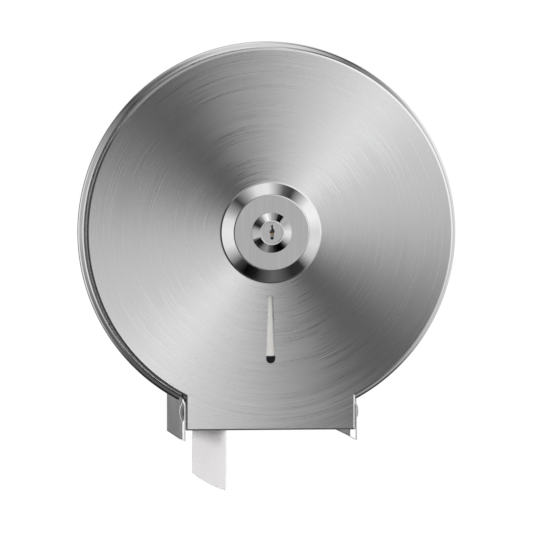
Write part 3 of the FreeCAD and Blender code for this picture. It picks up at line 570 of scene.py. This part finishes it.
tissue = tissue_finish("embossed_tissue", True)
tissue_edges = tissue_finish("wound_tissue_edges", False)
roll_radius, roll_back, roll_front = span("paper_roll")
roll_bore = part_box("roll_core")[1].x + WOUND_GAP
ring_step = (roll_radius - ROLL_EDGE - roll_bore - ROLL_EDGE) / LAYER_RINGS
face_rings = []
for index in range(LAYER_RINGS + 1):
    radius = roll_bore + ROLL_EDGE + index * ring_step
    face_rings.append((radius - 0.25 * ring_step, 0.0))
    face_rings.append((radius + 0.25 * ring_step, LAYER_DEPTH))
roll_profile = (
    [(radius, roll_front - dip) for radius, dip in face_rings]
    + arc(roll_radius - ROLL_EDGE, roll_front - ROLL_EDGE, ROLL_EDGE, 80, 0, 5)
    + arc(roll_radius - ROLL_EDGE, roll_back + ROLL_EDGE, ROLL_EDGE, 0, -80, 5)
    + [(radius, roll_back + dip) for radius, dip in reversed(face_rings)]
    + [(roll_bore, roll_back + BORE_EDGE), (roll_bore, roll_front - BORE_EDGE)]
)
roll = lathe("tissue_roll", roll_profile, tissue, 192)
# each end shows the layers' edges, and the dots repeat a whole number of times round the outside
roll.data.materials.append(tissue_edges)
dot_rows = round(2 * math.pi * roll_radius / (DOT_PITCH * math.sqrt(2)))
chart = roll.data.uv_layers.new(name="length")
for face in roll.data.polygons:
    if abs(face.normal.y) > 0.7:
        face.material_index = 1
    middle = math.atan2(face.center.z, face.center.x)
    for index in face.loop_indices:
        point = roll.data.vertices[roll.data.loops[index].vertex_index].co
        turn = math.atan2(point.z, point.x) - middle
        turn = middle + math.atan2(math.sin(turn), math.cos(turn))
        chart.data[index].uv = (turn / (2 * math.pi) * dot_rows * DOT_PITCH * math.sqrt(2), point.y)
replace(roll, "paper_roll", "roll")

# The loose end: one sheet of the same tissue that leaves the roll at its lower left, bends under
# its own weight and hangs out of the throat a little twisted, torn off in a soft curve.
TAIL_LIFT = 0.0007
TAIL_STARTS = 222
TAIL_LEAVES = 232
TAIL_FAR_SIDE = 0.0461
TAIL_NEAR_SIDE = 0.0314
TAIL_FAR_DROP = 0.176
TAIL_NEAR_DROP = 0.182
TAIL_BULGE = 0.0016
TAIL_THICKNESS = 0.00025
TAIL_ACROSS = 60
TAIL_ALONG = 110
TAIL_WAVE = 0.0005
TAIL_WAVES = 2.3
tail_track = roll_radius + TAIL_LIFT
leave = math.radians(TAIL_LEAVES)
start = math.radians(TAIL_STARTS)
tail_edge = Vector((tail_track * math.cos(leave), 0, tail_track * math.sin(leave)))


def tail_line(share):
    """Lengths and bend of the sheet at a share of its width, from the far edge to the near one."""
    side = TAIL_FAR_SIDE + (TAIL_NEAR_SIDE - TAIL_FAR_SIDE) * share
    drop = TAIL_FAR_DROP + (TAIL_NEAR_DROP - TAIL_FAR_DROP) * share
    drop += TAIL_BULGE * 4 * share * (1 - share)
    bend = (-side - tail_edge.x) / (1 + math.cos(leave))
    bend_z = tail_edge.z + bend * math.sin(leave)
    lengths = (tail_track * (leave - start), bend * (leave - math.pi), drop + bend_z)
    return side, bend, bend_z, lengths


def tail_point(share, run):
    """A point of the sheet: share across, run along from the roll to the torn edge."""
    side, bend, bend_z, lengths = tail_line(share)
    depth = roll_back + (roll_front - roll_back) * share
    travel = run * sum(lengths)
    if travel < lengths[0]:
        turn = start + travel / tail_track
        return Vector((tail_track * math.cos(turn), -depth, tail_track * math.sin(turn)))
    travel -= lengths[0]
    if travel < lengths[1]:
        turn = leave - math.pi - travel / bend
        return Vector((-side - bend + bend * math.cos(turn), -depth,
                       bend_z + bend * math.sin(turn)))
    travel -= lengths[1]
    wave = TAIL_WAVE * math.sin(math.pi * travel / lengths[2])
    wave *= math.sin(TAIL_WAVES * math.pi * share)
    return Vector((-side + wave, -depth, bend_z - travel))


corners = []
for across in range(TAIL_ACROSS + 1):
    for along in range(TAIL_ALONG + 1):
        corners.append(tail_point(across / TAIL_ACROSS, along / TAIL_ALONG))
faces = []
for across in range(TAIL_ACROSS):
    for along in range(TAIL_ALONG):
        low = across * (TAIL_ALONG + 1) + along
        faces.append((low, low + 1, low + TAIL_ALONG + 2, low + TAIL_ALONG + 1))
mesh = bpy.data.meshes.new("tissue_tail")
mesh.from_pydata(corners, [], faces)
tail = enter("tissue_tail", mesh)
mesh.shade_smooth()
mesh.materials.append(tissue)
chart = mesh.uv_layers.new(name="length")
tail_length = sum(tail_line(0.5)[3])
for loop in mesh.loops:
    across, along = divmod(loop.vertex_index, TAIL_ALONG + 1)
    chart.data[loop.index].uv = (
        (roll_front - roll_back) * across / TAIL_ACROSS, tail_length * along / TAIL_ALONG)
thickness = tail.modifiers.new("two plies", "SOLIDIFY")
thickness.thickness = TAIL_THICKNESS
thickness.offset = 0
settle(tail)
replace(tail, "paper_tail", "housing")
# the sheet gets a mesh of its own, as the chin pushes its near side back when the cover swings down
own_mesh(tail)

# The cover: a lid pressed from one stainless sheet, with a chamfered front edge and a chin that
# swings on the two rivets. Its face is brushed in circles about the centre, so that two bright and
# two dark fans meet at the lock. The edge and the wall are polished, the inside is left satin.
COVER_STEEL = "#d9d9da"
EDGE_STEEL = "#e4e4e5"
WALL_STEEL = "#e2e2e3"
INSIDE_STEEL = "#a4a5a6"
COVER_WALL = 0.001
COVER_STEPS = 320
CHIN_HALF = 0.06
CHIN_RETURN = 0.0025
CHIN_SHARES = (0.02, 0.35, 0.68, 0.98, 1.0)
CHIN_DROP = 0.54
EDGE_WIDTH = 0.0013
EDGE_DROP = 0.00154
CHIN_EDGE = 0.8
PIVOT_RADIUS = 0.00306
COVER_LINE = 0.0006
COVER_ARC = 1.6
COVER_BAND = 3.7 * COVER_LINE
BAND_ARC = 0.6 * COVER_ARC
COVER_WANDER = 0.55
COVER_ROUGHNESS = 0.3
COVER_SCRATCH = 0.05
COVER_SHADE = 0.85
COVER_ANISOTROPY = 1.0
GROOVE_DEPTH = 0.00003
COVER_SHARP = 12
FLAT_FACE = 0.99
STEEP_FACE = 0.3


def circle_brushed(name, colour):
    """Brushed in circles about the Y axis, with strokes that stray a little from the circle."""
    finish, tree, place = new_material(name)
    radius = off_axis(tree, place, "LENGTH")
    spoke = off_axis(tree, place, "NORMALIZE")
    ways = add(tree, "ShaderNodeSeparateXYZ", {0: spoke.outputs[0]})
    textures = []
    for pitch, turn, detail in ((COVER_LINE, COVER_ARC, 2.0), (COVER_BAND, BAND_ARC, 3.0)):
        rings = add(tree, "ShaderNodeMath", {0: radius.outputs["Value"], 1: 1 / pitch},
                    operation="MULTIPLY")
        right = add(tree, "ShaderNodeMath", {0: ways.outputs["X"], 1: turn}, operation="MULTIPLY")
        up = add(tree, "ShaderNodeMath", {0: ways.outputs["Z"], 1: turn}, operation="MULTIPLY")
        spot = add(tree, "ShaderNodeCombineXYZ", {
            "X": rings.outputs[0], "Y": right.outputs[0], "Z": up.outputs[0]})
        texture = add(tree, "ShaderNodeTexNoise", {
            "Vector": spot.outputs[0], "Scale": 1.0, "Detail": detail, "Roughness": 0.65})
        textures.append(texture.outputs["Fac"])
    streaks = add(tree, "ShaderNodeMix", {"Factor": 0.15, "A": textures[0], "B": textures[1]})
    tone = add(tree, "ShaderNodeMix", {
        "Factor": ramp(tree, streaks.outputs["Result"], [(0.3, 0.0), (0.7, 1.0)]),
        "A": shaded(colour, COVER_SHADE), "B": linear(colour)}, data_type="RGBA")
    rough = add(tree, "ShaderNodeMapRange", {
        "Value": streaks.outputs["Result"], "From Min": 0.3, "From Max": 0.7,
        "To Min": COVER_ROUGHNESS - COVER_SCRATCH, "To Max": COVER_ROUGHNESS + COVER_SCRATCH})
    bump = add(tree, "ShaderNodeBump", {
        "Height": streaks.outputs["Result"], "Strength": 0.1, "Distance": GROOVE_DEPTH})
    groove = add(tree, "ShaderNodeVectorMath", {0: spoke.outputs[0], 1: (0.0, 1.0, 0.0)},
                 operation="CROSS_PRODUCT")
    veer = add(tree, "ShaderNodeMapRange", {
        "Value": streaks.outputs["Result"], "To Min": -COVER_WANDER / 2,
        "To Max": COVER_WANDER / 2})
    aside = add(tree, "ShaderNodeVectorMath", {
        0: spoke.outputs[0], "Scale": veer.outputs["Result"]}, operation="SCALE")
    groove = add(tree, "ShaderNodeVectorMath", {0: groove.outputs[0], 1: aside.outputs[0]})
    shader = add(tree, "ShaderNodeBsdfPrincipled", {
        "Base Color": tone.outputs["Result"], "Metallic": 1.0, "Roughness": rough.outputs["Result"],
        "Anisotropic": COVER_ANISOTROPY, "Anisotropic Rotation": 0.25,
        "Tangent": groove.outputs[0], "Normal": bump.outputs["Normal"]})
    close_material(tree, shader)
    return finish


cover_steel = circle_brushed("circle_brushed_cover_steel", COVER_STEEL)
edge_steel = polished("polished_cover_edge", EDGE_STEEL, 0.12, 0.05)
wall_steel = polished("polished_cover_wall", WALL_STEEL, 0.28, 0.02)
inside_steel = straight_brushed("satin_cover_inside", INSIDE_STEEL, SHEET_GRAIN, "X", 0.4)
cover_radius, cover_back, cover_front = span("cover")
chin_bottom = -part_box("cover")[0].z


def cover_outline(inset, chin_inset):
    """The cover's outline set in: round the circle, down, along and up the chin. Each point also
    says what share of the edge's drop it takes and whether the wall is cut short for the paper."""
    radius = cover_radius - inset
    half = CHIN_HALF - chin_inset
    low = chin_inset - chin_bottom
    inner = CHIN_HALF - COVER_WALL
    first = -math.acos(half / radius)
    points = []
    for index in range(COVER_STEPS + 1):
        turn = first + (math.pi - 2 * first) * index / COVER_STEPS
        points.append((radius * math.cos(turn), radius * math.sin(turn), 1.0, False))
    corner = points[-1][1]
    side = [corner + (low - corner) * share for share in CHIN_SHARES]
    points += [(-half, height, CHIN_DROP, False) for height in side]
    points += [(across, low, CHIN_DROP, short) for across, short in
               ((-inner, False), (-inner, True), (inner, True), (inner, False))]
    points += [(half, height, CHIN_DROP, False) for height in reversed(side)]
    return points


cover_rows = [(EDGE_WIDTH, CHIN_EDGE * EDGE_WIDTH, cover_front, 0.0),
              (0.0, 0.0, cover_front, EDGE_DROP)]
cover_rows += [(inset, inset, depth, 0.0) for inset, depth in (
    (0.0, cover_front - CHIN_RETURN), (0.0, cover_back), (COVER_WALL, cover_back),
    (COVER_WALL, cover_front - CHIN_RETURN), (COVER_WALL, cover_front - COVER_WALL))]
corners = []
for inset, chin_inset, depth, drop in cover_rows:
    for across, height, share, short in cover_outline(inset, chin_inset):
        reach = depth - drop * share
        if short:
            reach = max(reach, cover_front - CHIN_RETURN)
        corners.append((across, -reach, height))
faces = capped_faces(len(cover_rows), len(corners) // len(cover_rows))
cover = solid("pressed_cover", corners, faces, cover_steel)

# The level slot in the cover, narrow and round at the top, wider and round at the bottom. It is cut
# with the lock's hole and the two pivot holes.
SLOT_TOP = (-0.04625, 0.0017)
SLOT_LOW = (-0.0892, 0.00325)
SLOT_STEPS = 20
HOLE_GAP = 0.00006
CUT_REACH = 0.003
PIVOT_REACH = 0.07


def slot_tool():
    """A solid with the slot's outline, longer than the sheet is thick."""
    lean = math.asin((SLOT_LOW[1] - SLOT_TOP[1]) / (SLOT_TOP[0] - SLOT_LOW[0]))
    outline = []
    for (height, radius), first, last in ((SLOT_TOP, lean, math.pi - lean),
                                          (SLOT_LOW, math.pi - lean, 2 * math.pi + lean)):
        for index in range(SLOT_STEPS + 1):
            turn = first + (last - first) * index / SLOT_STEPS
            outline.append((radius * math.cos(turn), height + radius * math.sin(turn)))
    corners = [(across, reach - cover_front, height) for reach in (-CUT_REACH, CUT_REACH)
               for across, height in outline]
    return solid("slot tool", corners, capped_faces(2, len(outline)), cover_steel)


def cut(thing, tool):
    """Cuts one closed mesh out of another, and drops the tool."""
    change = thing.modifiers.new("cut", "BOOLEAN")
    change.object = tool
    change.solver = "EXACT"
    settle(thing)
    bpy.data.objects.remove(tool)


cut(cover, slot_tool())
lock_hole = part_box("lock_barrel")[1].x + HOLE_GAP
cut(cover, lathe("lock tool", [
    (0.0, cover_front - CUT_REACH), (lock_hole, cover_front - CUT_REACH),
    (lock_hole, cover_front + CUT_REACH), (0.0, cover_front + CUT_REACH)], cover_steel, 96))
pivot = lathe("pivot tool", [
    (0.0, -PIVOT_REACH), (PIVOT_RADIUS, -PIVOT_REACH), (PIVOT_RADIUS, PIVOT_REACH),
    (0.0, PIVOT_REACH)], cover_steel, 48)
pivot.data.transform(Matrix.Translation((0, swing.y, swing.z))
                     @ Matrix.Rotation(math.radians(90), 4, "Z"))
cut(cover, pivot)
outwards(cover.data)
cover.data.shade_smooth()
cover.data.set_sharp_from_angle(angle=math.radians(COVER_SHARP))
cover.data.materials.clear()
for finish in (cover_steel, edge_steel, wall_steel, inside_steel):
    cover.data.materials.append(finish)
for face in cover.data.polygons:
    below = cover_front + face.center.y
    outward = face.normal.x * face.center.x + face.normal.z * face.center.z > 0
    if face.normal.y < -FLAT_FACE and below < 0.2 * COVER_WALL:
        face.material_index = 0
    elif outward and below < EDGE_DROP and face.normal.y < -STEEP_FACE:
        face.material_index = 1
    elif outward and abs(face.normal.y) < STEEP_FACE:
        face.material_index = 2
    else:
        face.material_index = 3
replace(cover, "cover", "cover")

# The buffers: soft black rubber pads, moulded with a rounded top and stuck on the flange, where
# they quieten the cover.
BUFFER_BLACK = "#1d1d1e"
BUFFERS = 6
BUFFER_FIRST = -30
BUFFER_STEP = 48
BUFFER_RADIUS = 0.0018
BUFFER_ROUND = 0.0003
buffer_rubber = moulded("soft_buffer_rubber", BUFFER_BLACK, 0.75, 0.0004, 0.2)
pads_low, pads_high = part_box("cover_buffers")
highest = math.sin(math.radians(BUFFER_FIRST + 2 * BUFFER_STEP))
pads = lathe("buffer_pads", (
    [(0.0, -pads_high.y), (BUFFER_RADIUS, -pads_high.y)]
    + arc(BUFFER_RADIUS - BUFFER_ROUND, -pads_low.y - BUFFER_ROUND, BUFFER_ROUND, 0, 90, 4)
    + [(0.0, -pads_low.y)]), buffer_rubber, 32)
set_out(pads, buffer_rubber, BUFFERS, (pads_high.z - BUFFER_RADIUS) / highest, BUFFER_FIRST,
        BUFFER_STEP)
replace(pads, "cover_buffers", "housing")

# The knob: a bevelled ring, turned and polished, with a steep foot, round a flat disc that is
# brushed upright and stands a little higher on its own steep edge.
KNOB_CHROME = "#dededf"
KNOB_FACE = "#d3d3d4"
KNOB_FOOT = 0.0011
KNOB_SLOPE = 27.5
STEEP_EDGE = 40
EDGE_ROUND = 0.00025
DISC_EDGE = 0.0007
KNOB_SEAT = 0.0002
DISC_GAP = 0.00004
knob_radius, knob_back = span("knob_bevel")[:2]
disc_radius, _, disc_front = span("knob_disc")
knob_chrome = polished("polished_knob_chrome", KNOB_CHROME, 0.07, 0.05)
knob_face = straight_brushed("upright_brushed_knob_face", KNOB_FACE, 0.0009, "X", 0.36, 0.6,
                             (1.0, 0.0, 0.0))
foot_front = knob_back + KNOB_SEAT + KNOB_FOOT * math.tan(math.radians(STEEP_EDGE))
knob_bore = disc_radius + DISC_GAP
knob_front = foot_front + (knob_radius - KNOB_FOOT - knob_bore) * math.tan(math.radians(KNOB_SLOPE))
knob = lathe("knob_ring", [
    (knob_bore, knob_back), (knob_radius, knob_back), (knob_radius, knob_back + KNOB_SEAT),
    (knob_radius - KNOB_FOOT, foot_front), (knob_bore, knob_front)], knob_chrome, 320, sharp=8)
replace(knob, "knob_bevel", "cover")
edge_foot = disc_front - DISC_EDGE * math.tan(math.radians(STEEP_EDGE))
disc = lathe("knob_face_disc", [
    (lock_hole, knob_back), (disc_radius, knob_back), (disc_radius, edge_foot),
    (disc_radius - DISC_EDGE, disc_front), (lock_hole, disc_front)], knob_face, 256)
disc.data.materials.append(knob_chrome)
for face in disc.data.polygons:
    if math.hypot(face.center.x, face.center.z) > disc_radius - DISC_EDGE:
        face.material_index = 1
replace(disc, "knob_disc", "cover")

# The lock: a plated rosette and barrel, a brass nut behind the cover, and the plug with its
# keyway, brass wafers and cam.
LOCK_CHROME = "#d9d9da"
PLUG_FACE = "#d2d2d2"
NUT_BRASS = "#b99a5b"
WAFER_BRASS = "#a8862c"
WORN_WAFER = "#a9a9a8"
WORN_BELOW = -0.0009
WORN_FADE = 0.0003
WAFERS = 5
WAFER_WALL = 0.0008
WAFER_PITCH = 0.0026
WAFER_ROUND = 0.00012
ROSETTE_EDGE = 0.0004
ROSETTE_LIP = 0.0086
PLUG_BORE = 0.00746
CHATTER_COUNT = 7.0
CHATTER_DEPTH = 0.00004
rosette_radius, rosette_back, rosette_front = span("lock_rosette")
lock_chrome = polished("plated_lock_chrome", LOCK_CHROME, 0.06, 0.04)
# turning left faint chatter marks that fan out from the plug
tree = lock_chrome.node_tree
spot = off_axis(tree, tree.nodes["Texture Coordinate"].outputs["Object"], "NORMALIZE")
chatter = add(tree, "ShaderNodeTexNoise", {
    "Vector": spot.outputs[0], "Scale": CHATTER_COUNT, "Detail": 3.0})
marks = add(tree, "ShaderNodeBump", {
    "Height": chatter.outputs["Fac"], "Strength": 1.0, "Distance": CHATTER_DEPTH})
tree.links.new(marks.outputs["Normal"], tree.nodes["Principled BSDF"].inputs["Normal"])
rosette_profile = (
    [(PLUG_BORE, rosette_back), (rosette_radius - EDGE_ROUND, rosette_back)]
    + arc(rosette_radius - EDGE_ROUND, rosette_back + ROSETTE_EDGE, EDGE_ROUND, -60, 60, 6)
    + arc(ROSETTE_LIP, rosette_front - EDGE_ROUND, EDGE_ROUND, 65, 90, 3)
    + arc(PLUG_BORE + EDGE_ROUND, rosette_front - EDGE_ROUND, EDGE_ROUND, 90, 180, 4)
)
rosette = lathe("lock_bezel", rosette_profile, lock_chrome, 256, sharp=3)
# the flat lip round the plug is left smooth
rosette.data.materials.append(knob_chrome)
for face in rosette.data.polygons:
    if math.hypot(face.center.x, face.center.z) < ROSETTE_LIP + EDGE_ROUND:
        face.material_index = 1
replace(rosette, "lock_rosette", "cover")
plug_face = straight_brushed("plated_plug_face", PLUG_FACE, 0.0006, "X", 0.3)
brass = polished("plain_brass", NUT_BRASS, 0.3, 0.1)
wafer_brass = polished("dull_wafer_brass", WAFER_BRASS, 0.45, 0.1)
# the key has worn the wafers' lower ends bright
tree = wafer_brass.node_tree
ways = add(tree, "ShaderNodeSeparateXYZ", {0: tree.nodes["Texture Coordinate"].outputs["Object"]})
worn = add(tree, "ShaderNodeMapRange", {
    "Value": ways.outputs["Z"], "From Min": WORN_BELOW, "From Max": WORN_BELOW - WORN_FADE})
blank = tree.nodes["Mix"].outputs["Result"]
worn = add(tree, "ShaderNodeMix", {
    "Factor": worn.outputs["Result"], "A": blank, "B": linear(WORN_WAFER)}, data_type="RGBA")
tree.links.new(worn.outputs["Result"], tree.nodes["Principled BSDF"].inputs["Base Color"])
dress("lock_barrel", lock_chrome)
dress("lock_washer", zinc_steel)
dress("lock_nut", brass)
dress("lock_plug", plug_face)
wafer_low, wafer_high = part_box("lock_wafers")
wafer_front = -wafer_low.y
wafer_side = wafer_high.x
wafer_corners = []
for rise, narrow in ((-WAFER_WALL, WAFER_ROUND), (-0.85 * WAFER_WALL, 0.0),
                     (-0.15 * WAFER_WALL, 0.0), (0.0, WAFER_ROUND)):
    for across, height in ((-1, wafer_low.z + narrow), (1, wafer_low.z + narrow),
                           (1, wafer_high.z - narrow), (-1, wafer_high.z - narrow)):
        wafer_corners.append((across * (wafer_side - narrow), -wafer_front - rise, height))
wafers = solid("keyway_wafers", wafer_corners, capped_faces(4, 4), wafer_brass)
set_out(wafers, wafer_brass, WAFERS, pitch=WAFER_PITCH)
replace(wafers, "lock_wafers", "lock")
dress("lock_cam", zinc_steel)
dress("cam_screw", zinc_steel)

# The studio: a pale floor that the metal doesn't mirror, and a soft dome of large pale panels and
# dark gaps, centred on the direction in which the flat cover mirrors the camera.
FLOOR_WHITE = "#ffffff"
FLOOR_GREY = "#c8c8c8"
FLOOR_LEVEL = -0.46
FLOOR_SIZE = 40.0
CAMERA_AZIMUTH = -6.6
CAMERA_ELEVATION = 1.7
# grey levels of the dome by angle round its centre, in degrees from the right, for five rings of
# it from the middle outwards, the first of which repeats after half a turn
FANS = [(0, 0.74), (21, 0.94), (36, 1.28), (49, 1.82), (65, 1.3), (85, 0.81), (101, 0.34),
        (120, 0.03), (135, 0.0), (150, 0.17), (169, 0.48), (180, 0.74)]
BEZEL = [(0, 1.2), (20, 0.8), (34, 0.55), (47, 0.66), (53, 0.0), (65, 0.0), (74, 0.26), (90, 0.6),
         (105, 1.5), (118, 0.75), (133, 0.12), (150, 0.01), (158, 0.12), (170, 0.6), (199, 0.76),
         (205, 0.0), (228, 0.0), (240, 0.24), (254, 0.38), (268, 0.1), (285, 0.0), (308, 0.0),
         (318, 0.1), (330, 0.62), (345, 1.0), (360, 1.2)]
PANELS = [(0, 0.93), (20, 1.25), (35, 1.18), (47, 0.6), (59, 0.05), (70, 0.14), (91, 1.12),
          (107, 1.02), (120, 0.48), (135, 0.04), (150, 0.48), (163, 1.0), (180, 1.12), (198, 1.05),
          (212, 0.6), (225, 0.07), (238, 0.0), (252, 0.01), (275, 0.17), (286, 0.13), (300, 0.03),
          (315, 0.04), (330, 0.73), (345, 1.0), (360, 0.93)]
RIM_LIGHT = [(0, 0.82), (30, 0.8), (45, 0.42), (60, 0.2), (75, 1.0), (100, 0.92), (118, 0.2),
             (135, 0.14), (155, 0.62), (180, 0.65), (210, 0.17), (240, 0.13), (300, 0.32),
             (330, 0.75), (360, 0.82)]
SIDE_WALLS = [(0, 1.15), (45, 1.25), (60, 1.15), (75, 0.85), (100, 0.55), (120, 0.4), (135, 0.28),
              (150, 0.07), (235, 0.06), (270, 0.09), (312, 0.12), (330, 0.6), (360, 1.15)]
REAR_GREY = 0.35
REAR_WHITE = 1.3
REAR_GAP = 0.05
mesh = bpy.data.meshes.new("floor")
half = FLOOR_SIZE / 2
mesh.from_pydata([(-half, -half, FLOOR_LEVEL), (half, -half, FLOOR_LEVEL),
                  (half, half, FLOOR_LEVEL), (-half, half, FLOOR_LEVEL)], [], [(0, 1, 2, 3)])
floor = enter("floor", mesh)
floor_paint, tree, place = new_material("white_floor")
matt = add(tree, "ShaderNodeBsdfDiffuse", {"Color": linear(FLOOR_GREY)})
clear = add(tree, "ShaderNodeBsdfTransparent")
glow = add(tree, "ShaderNodeEmission", {"Color": linear(FLOOR_WHITE), "Strength": 1.0})
seen = add(tree, "ShaderNodeLightPath")
unmirrored = add(tree, "ShaderNodeMixShader", {
    0: seen.outputs["Is Glossy Ray"], 1: matt.outputs[0], 2: clear.outputs[0]})
floor_mix = add(tree, "ShaderNodeMixShader", {
    0: seen.outputs["Is Camera Ray"], 1: unmirrored.outputs[0], 2: glow.outputs[0]})
close_material(tree, floor_mix)
mesh.materials.append(floor_paint)

world = bpy.data.worlds.new("studio")
bpy.context.scene.world = world
world.use_nodes = True
tree = world.node_tree
tree.nodes.clear()
way = add(tree, "ShaderNodeTexCoord").outputs["Generated"]
tilt = (math.radians(-CAMERA_ELEVATION), 0.0, math.radians(CAMERA_AZIMUTH))
centred = add(tree, "ShaderNodeMapping", {"Vector": way, "Rotation": tilt})
axes = add(tree, "ShaderNodeSeparateXYZ", {0: centred.outputs[0]})
turns = turns_round(tree, axes)
once = add(tree, "ShaderNodeMath", {0: turns.outputs[0]}, operation="FRACT")
twice = add(tree, "ShaderNodeMath", {0: turns.outputs[0], 1: 2.0}, operation="MULTIPLY")
twice = add(tree, "ShaderNodeMath", {0: twice.outputs[0]}, operation="FRACT")


def ring_of_dome(factor, stops):
    """A ramp over the stops' angles."""
    last = stops[-1][0]
    return ramp(tree, factor.outputs[0], [(angle / last, grey) for angle, grey in stops])


def blend_rings(inner, outer, start, end):
    """Passes from one ring of the dome to the next between two polar angles in degrees."""
    share = add(tree, "ShaderNodeMapRange", {
        "Value": axes.outputs["Y"], "From Min": -math.cos(math.radians(start)),
        "From Max": -math.cos(math.radians(end))}, interpolation_type="SMOOTHSTEP")
    blend = add(tree, "ShaderNodeMix", {
        "Factor": share.outputs["Result"], "A": inner, "B": outer}, data_type="RGBA")
    return blend.outputs["Result"]


sky = ring_of_dome(twice, FANS)
for ring, start, end in ((BEZEL, 33, 38), (PANELS, 47, 51), (RIM_LIGHT, 61, 65),
                         (SIDE_WALLS, 73, 76)):
    sky = blend_rings(sky, ring_of_dome(once, ring), start, end)
for grey, start, end in ((REAR_GREY, 125, 132), (REAR_GAP, 148, 154), (REAR_WHITE, 162, 167)):
    sky = blend_rings(sky, [grey] * 3 + [1.0], start, end)
dome = add(tree, "ShaderNodeBackground", {"Color": sky, "Strength": 1.0})
paper_white = add(tree, "ShaderNodeBackground", {"Color": linear(FLOOR_WHITE), "Strength": 1.0})
seen = add(tree, "ShaderNodeLightPath")
world_mix = add(tree, "ShaderNodeMixShader", {
    0: seen.outputs["Is Camera Ray"], 1: dome.outputs[0], 2: paper_white.outputs[0]})
add(tree, "ShaderNodeOutputWorld", {"Surface": world_mix.outputs[0]})

# Two large soft lamps for the paper, which the metal doesn't mirror: one in front, which reaches
# it through the slot, and one from the left.
LAMP_TARGET = Vector((0, -0.06, -0.05))
for name, power, width, height, spot in (
        ("front lamp", 24.0, 1.2, 0.3, (0.25, -2.5, -0.28)),
        ("left lamp", 30.0, 0.9, 0.9, (-1.9, -1.1, -0.1))):
    lamp_data = bpy.data.lights.new(name, "AREA")
    lamp_data.shape = "RECTANGLE"
    lamp_data.size = width
    lamp_data.size_y = height
    lamp_data.energy = power
    lamp = enter(name, lamp_data)
    lamp.location = spot
    lamp.rotation_euler = (LAMP_TARGET - lamp.location).to_track_quat("-Z", "Y").to_euler()
    lamp.visible_glossy = False

# The camera: far away and nearly square to the face, a little from the left and above. Its lens
# takes in the frame's width at the distance of the object.
CAMERA_DISTANCE = 3.5
FRAME_WIDTH = 0.3782
AIM = Vector((-0.0006, -0.097, -0.0246))
azimuth = math.radians(CAMERA_AZIMUTH)
elevation = math.radians(CAMERA_ELEVATION)
camera_data = bpy.data.cameras.new("camera")
camera_data.sensor_width = 36.0
camera_data.lens = 36.0 * CAMERA_DISTANCE / FRAME_WIDTH
camera = enter("camera", camera_data)
camera.location = AIM + CAMERA_DISTANCE * Vector((
    math.sin(azimuth) * math.cos(elevation),
    -math.cos(azimuth) * math.cos(elevation),
    math.sin(elevation)))
camera.rotation_euler = (AIM - camera.location).to_track_quat("-Z", "Y").to_euler()
bpy.context.scene.camera = camera
bpy.context.scene.view_settings.view_transform = "Standard"
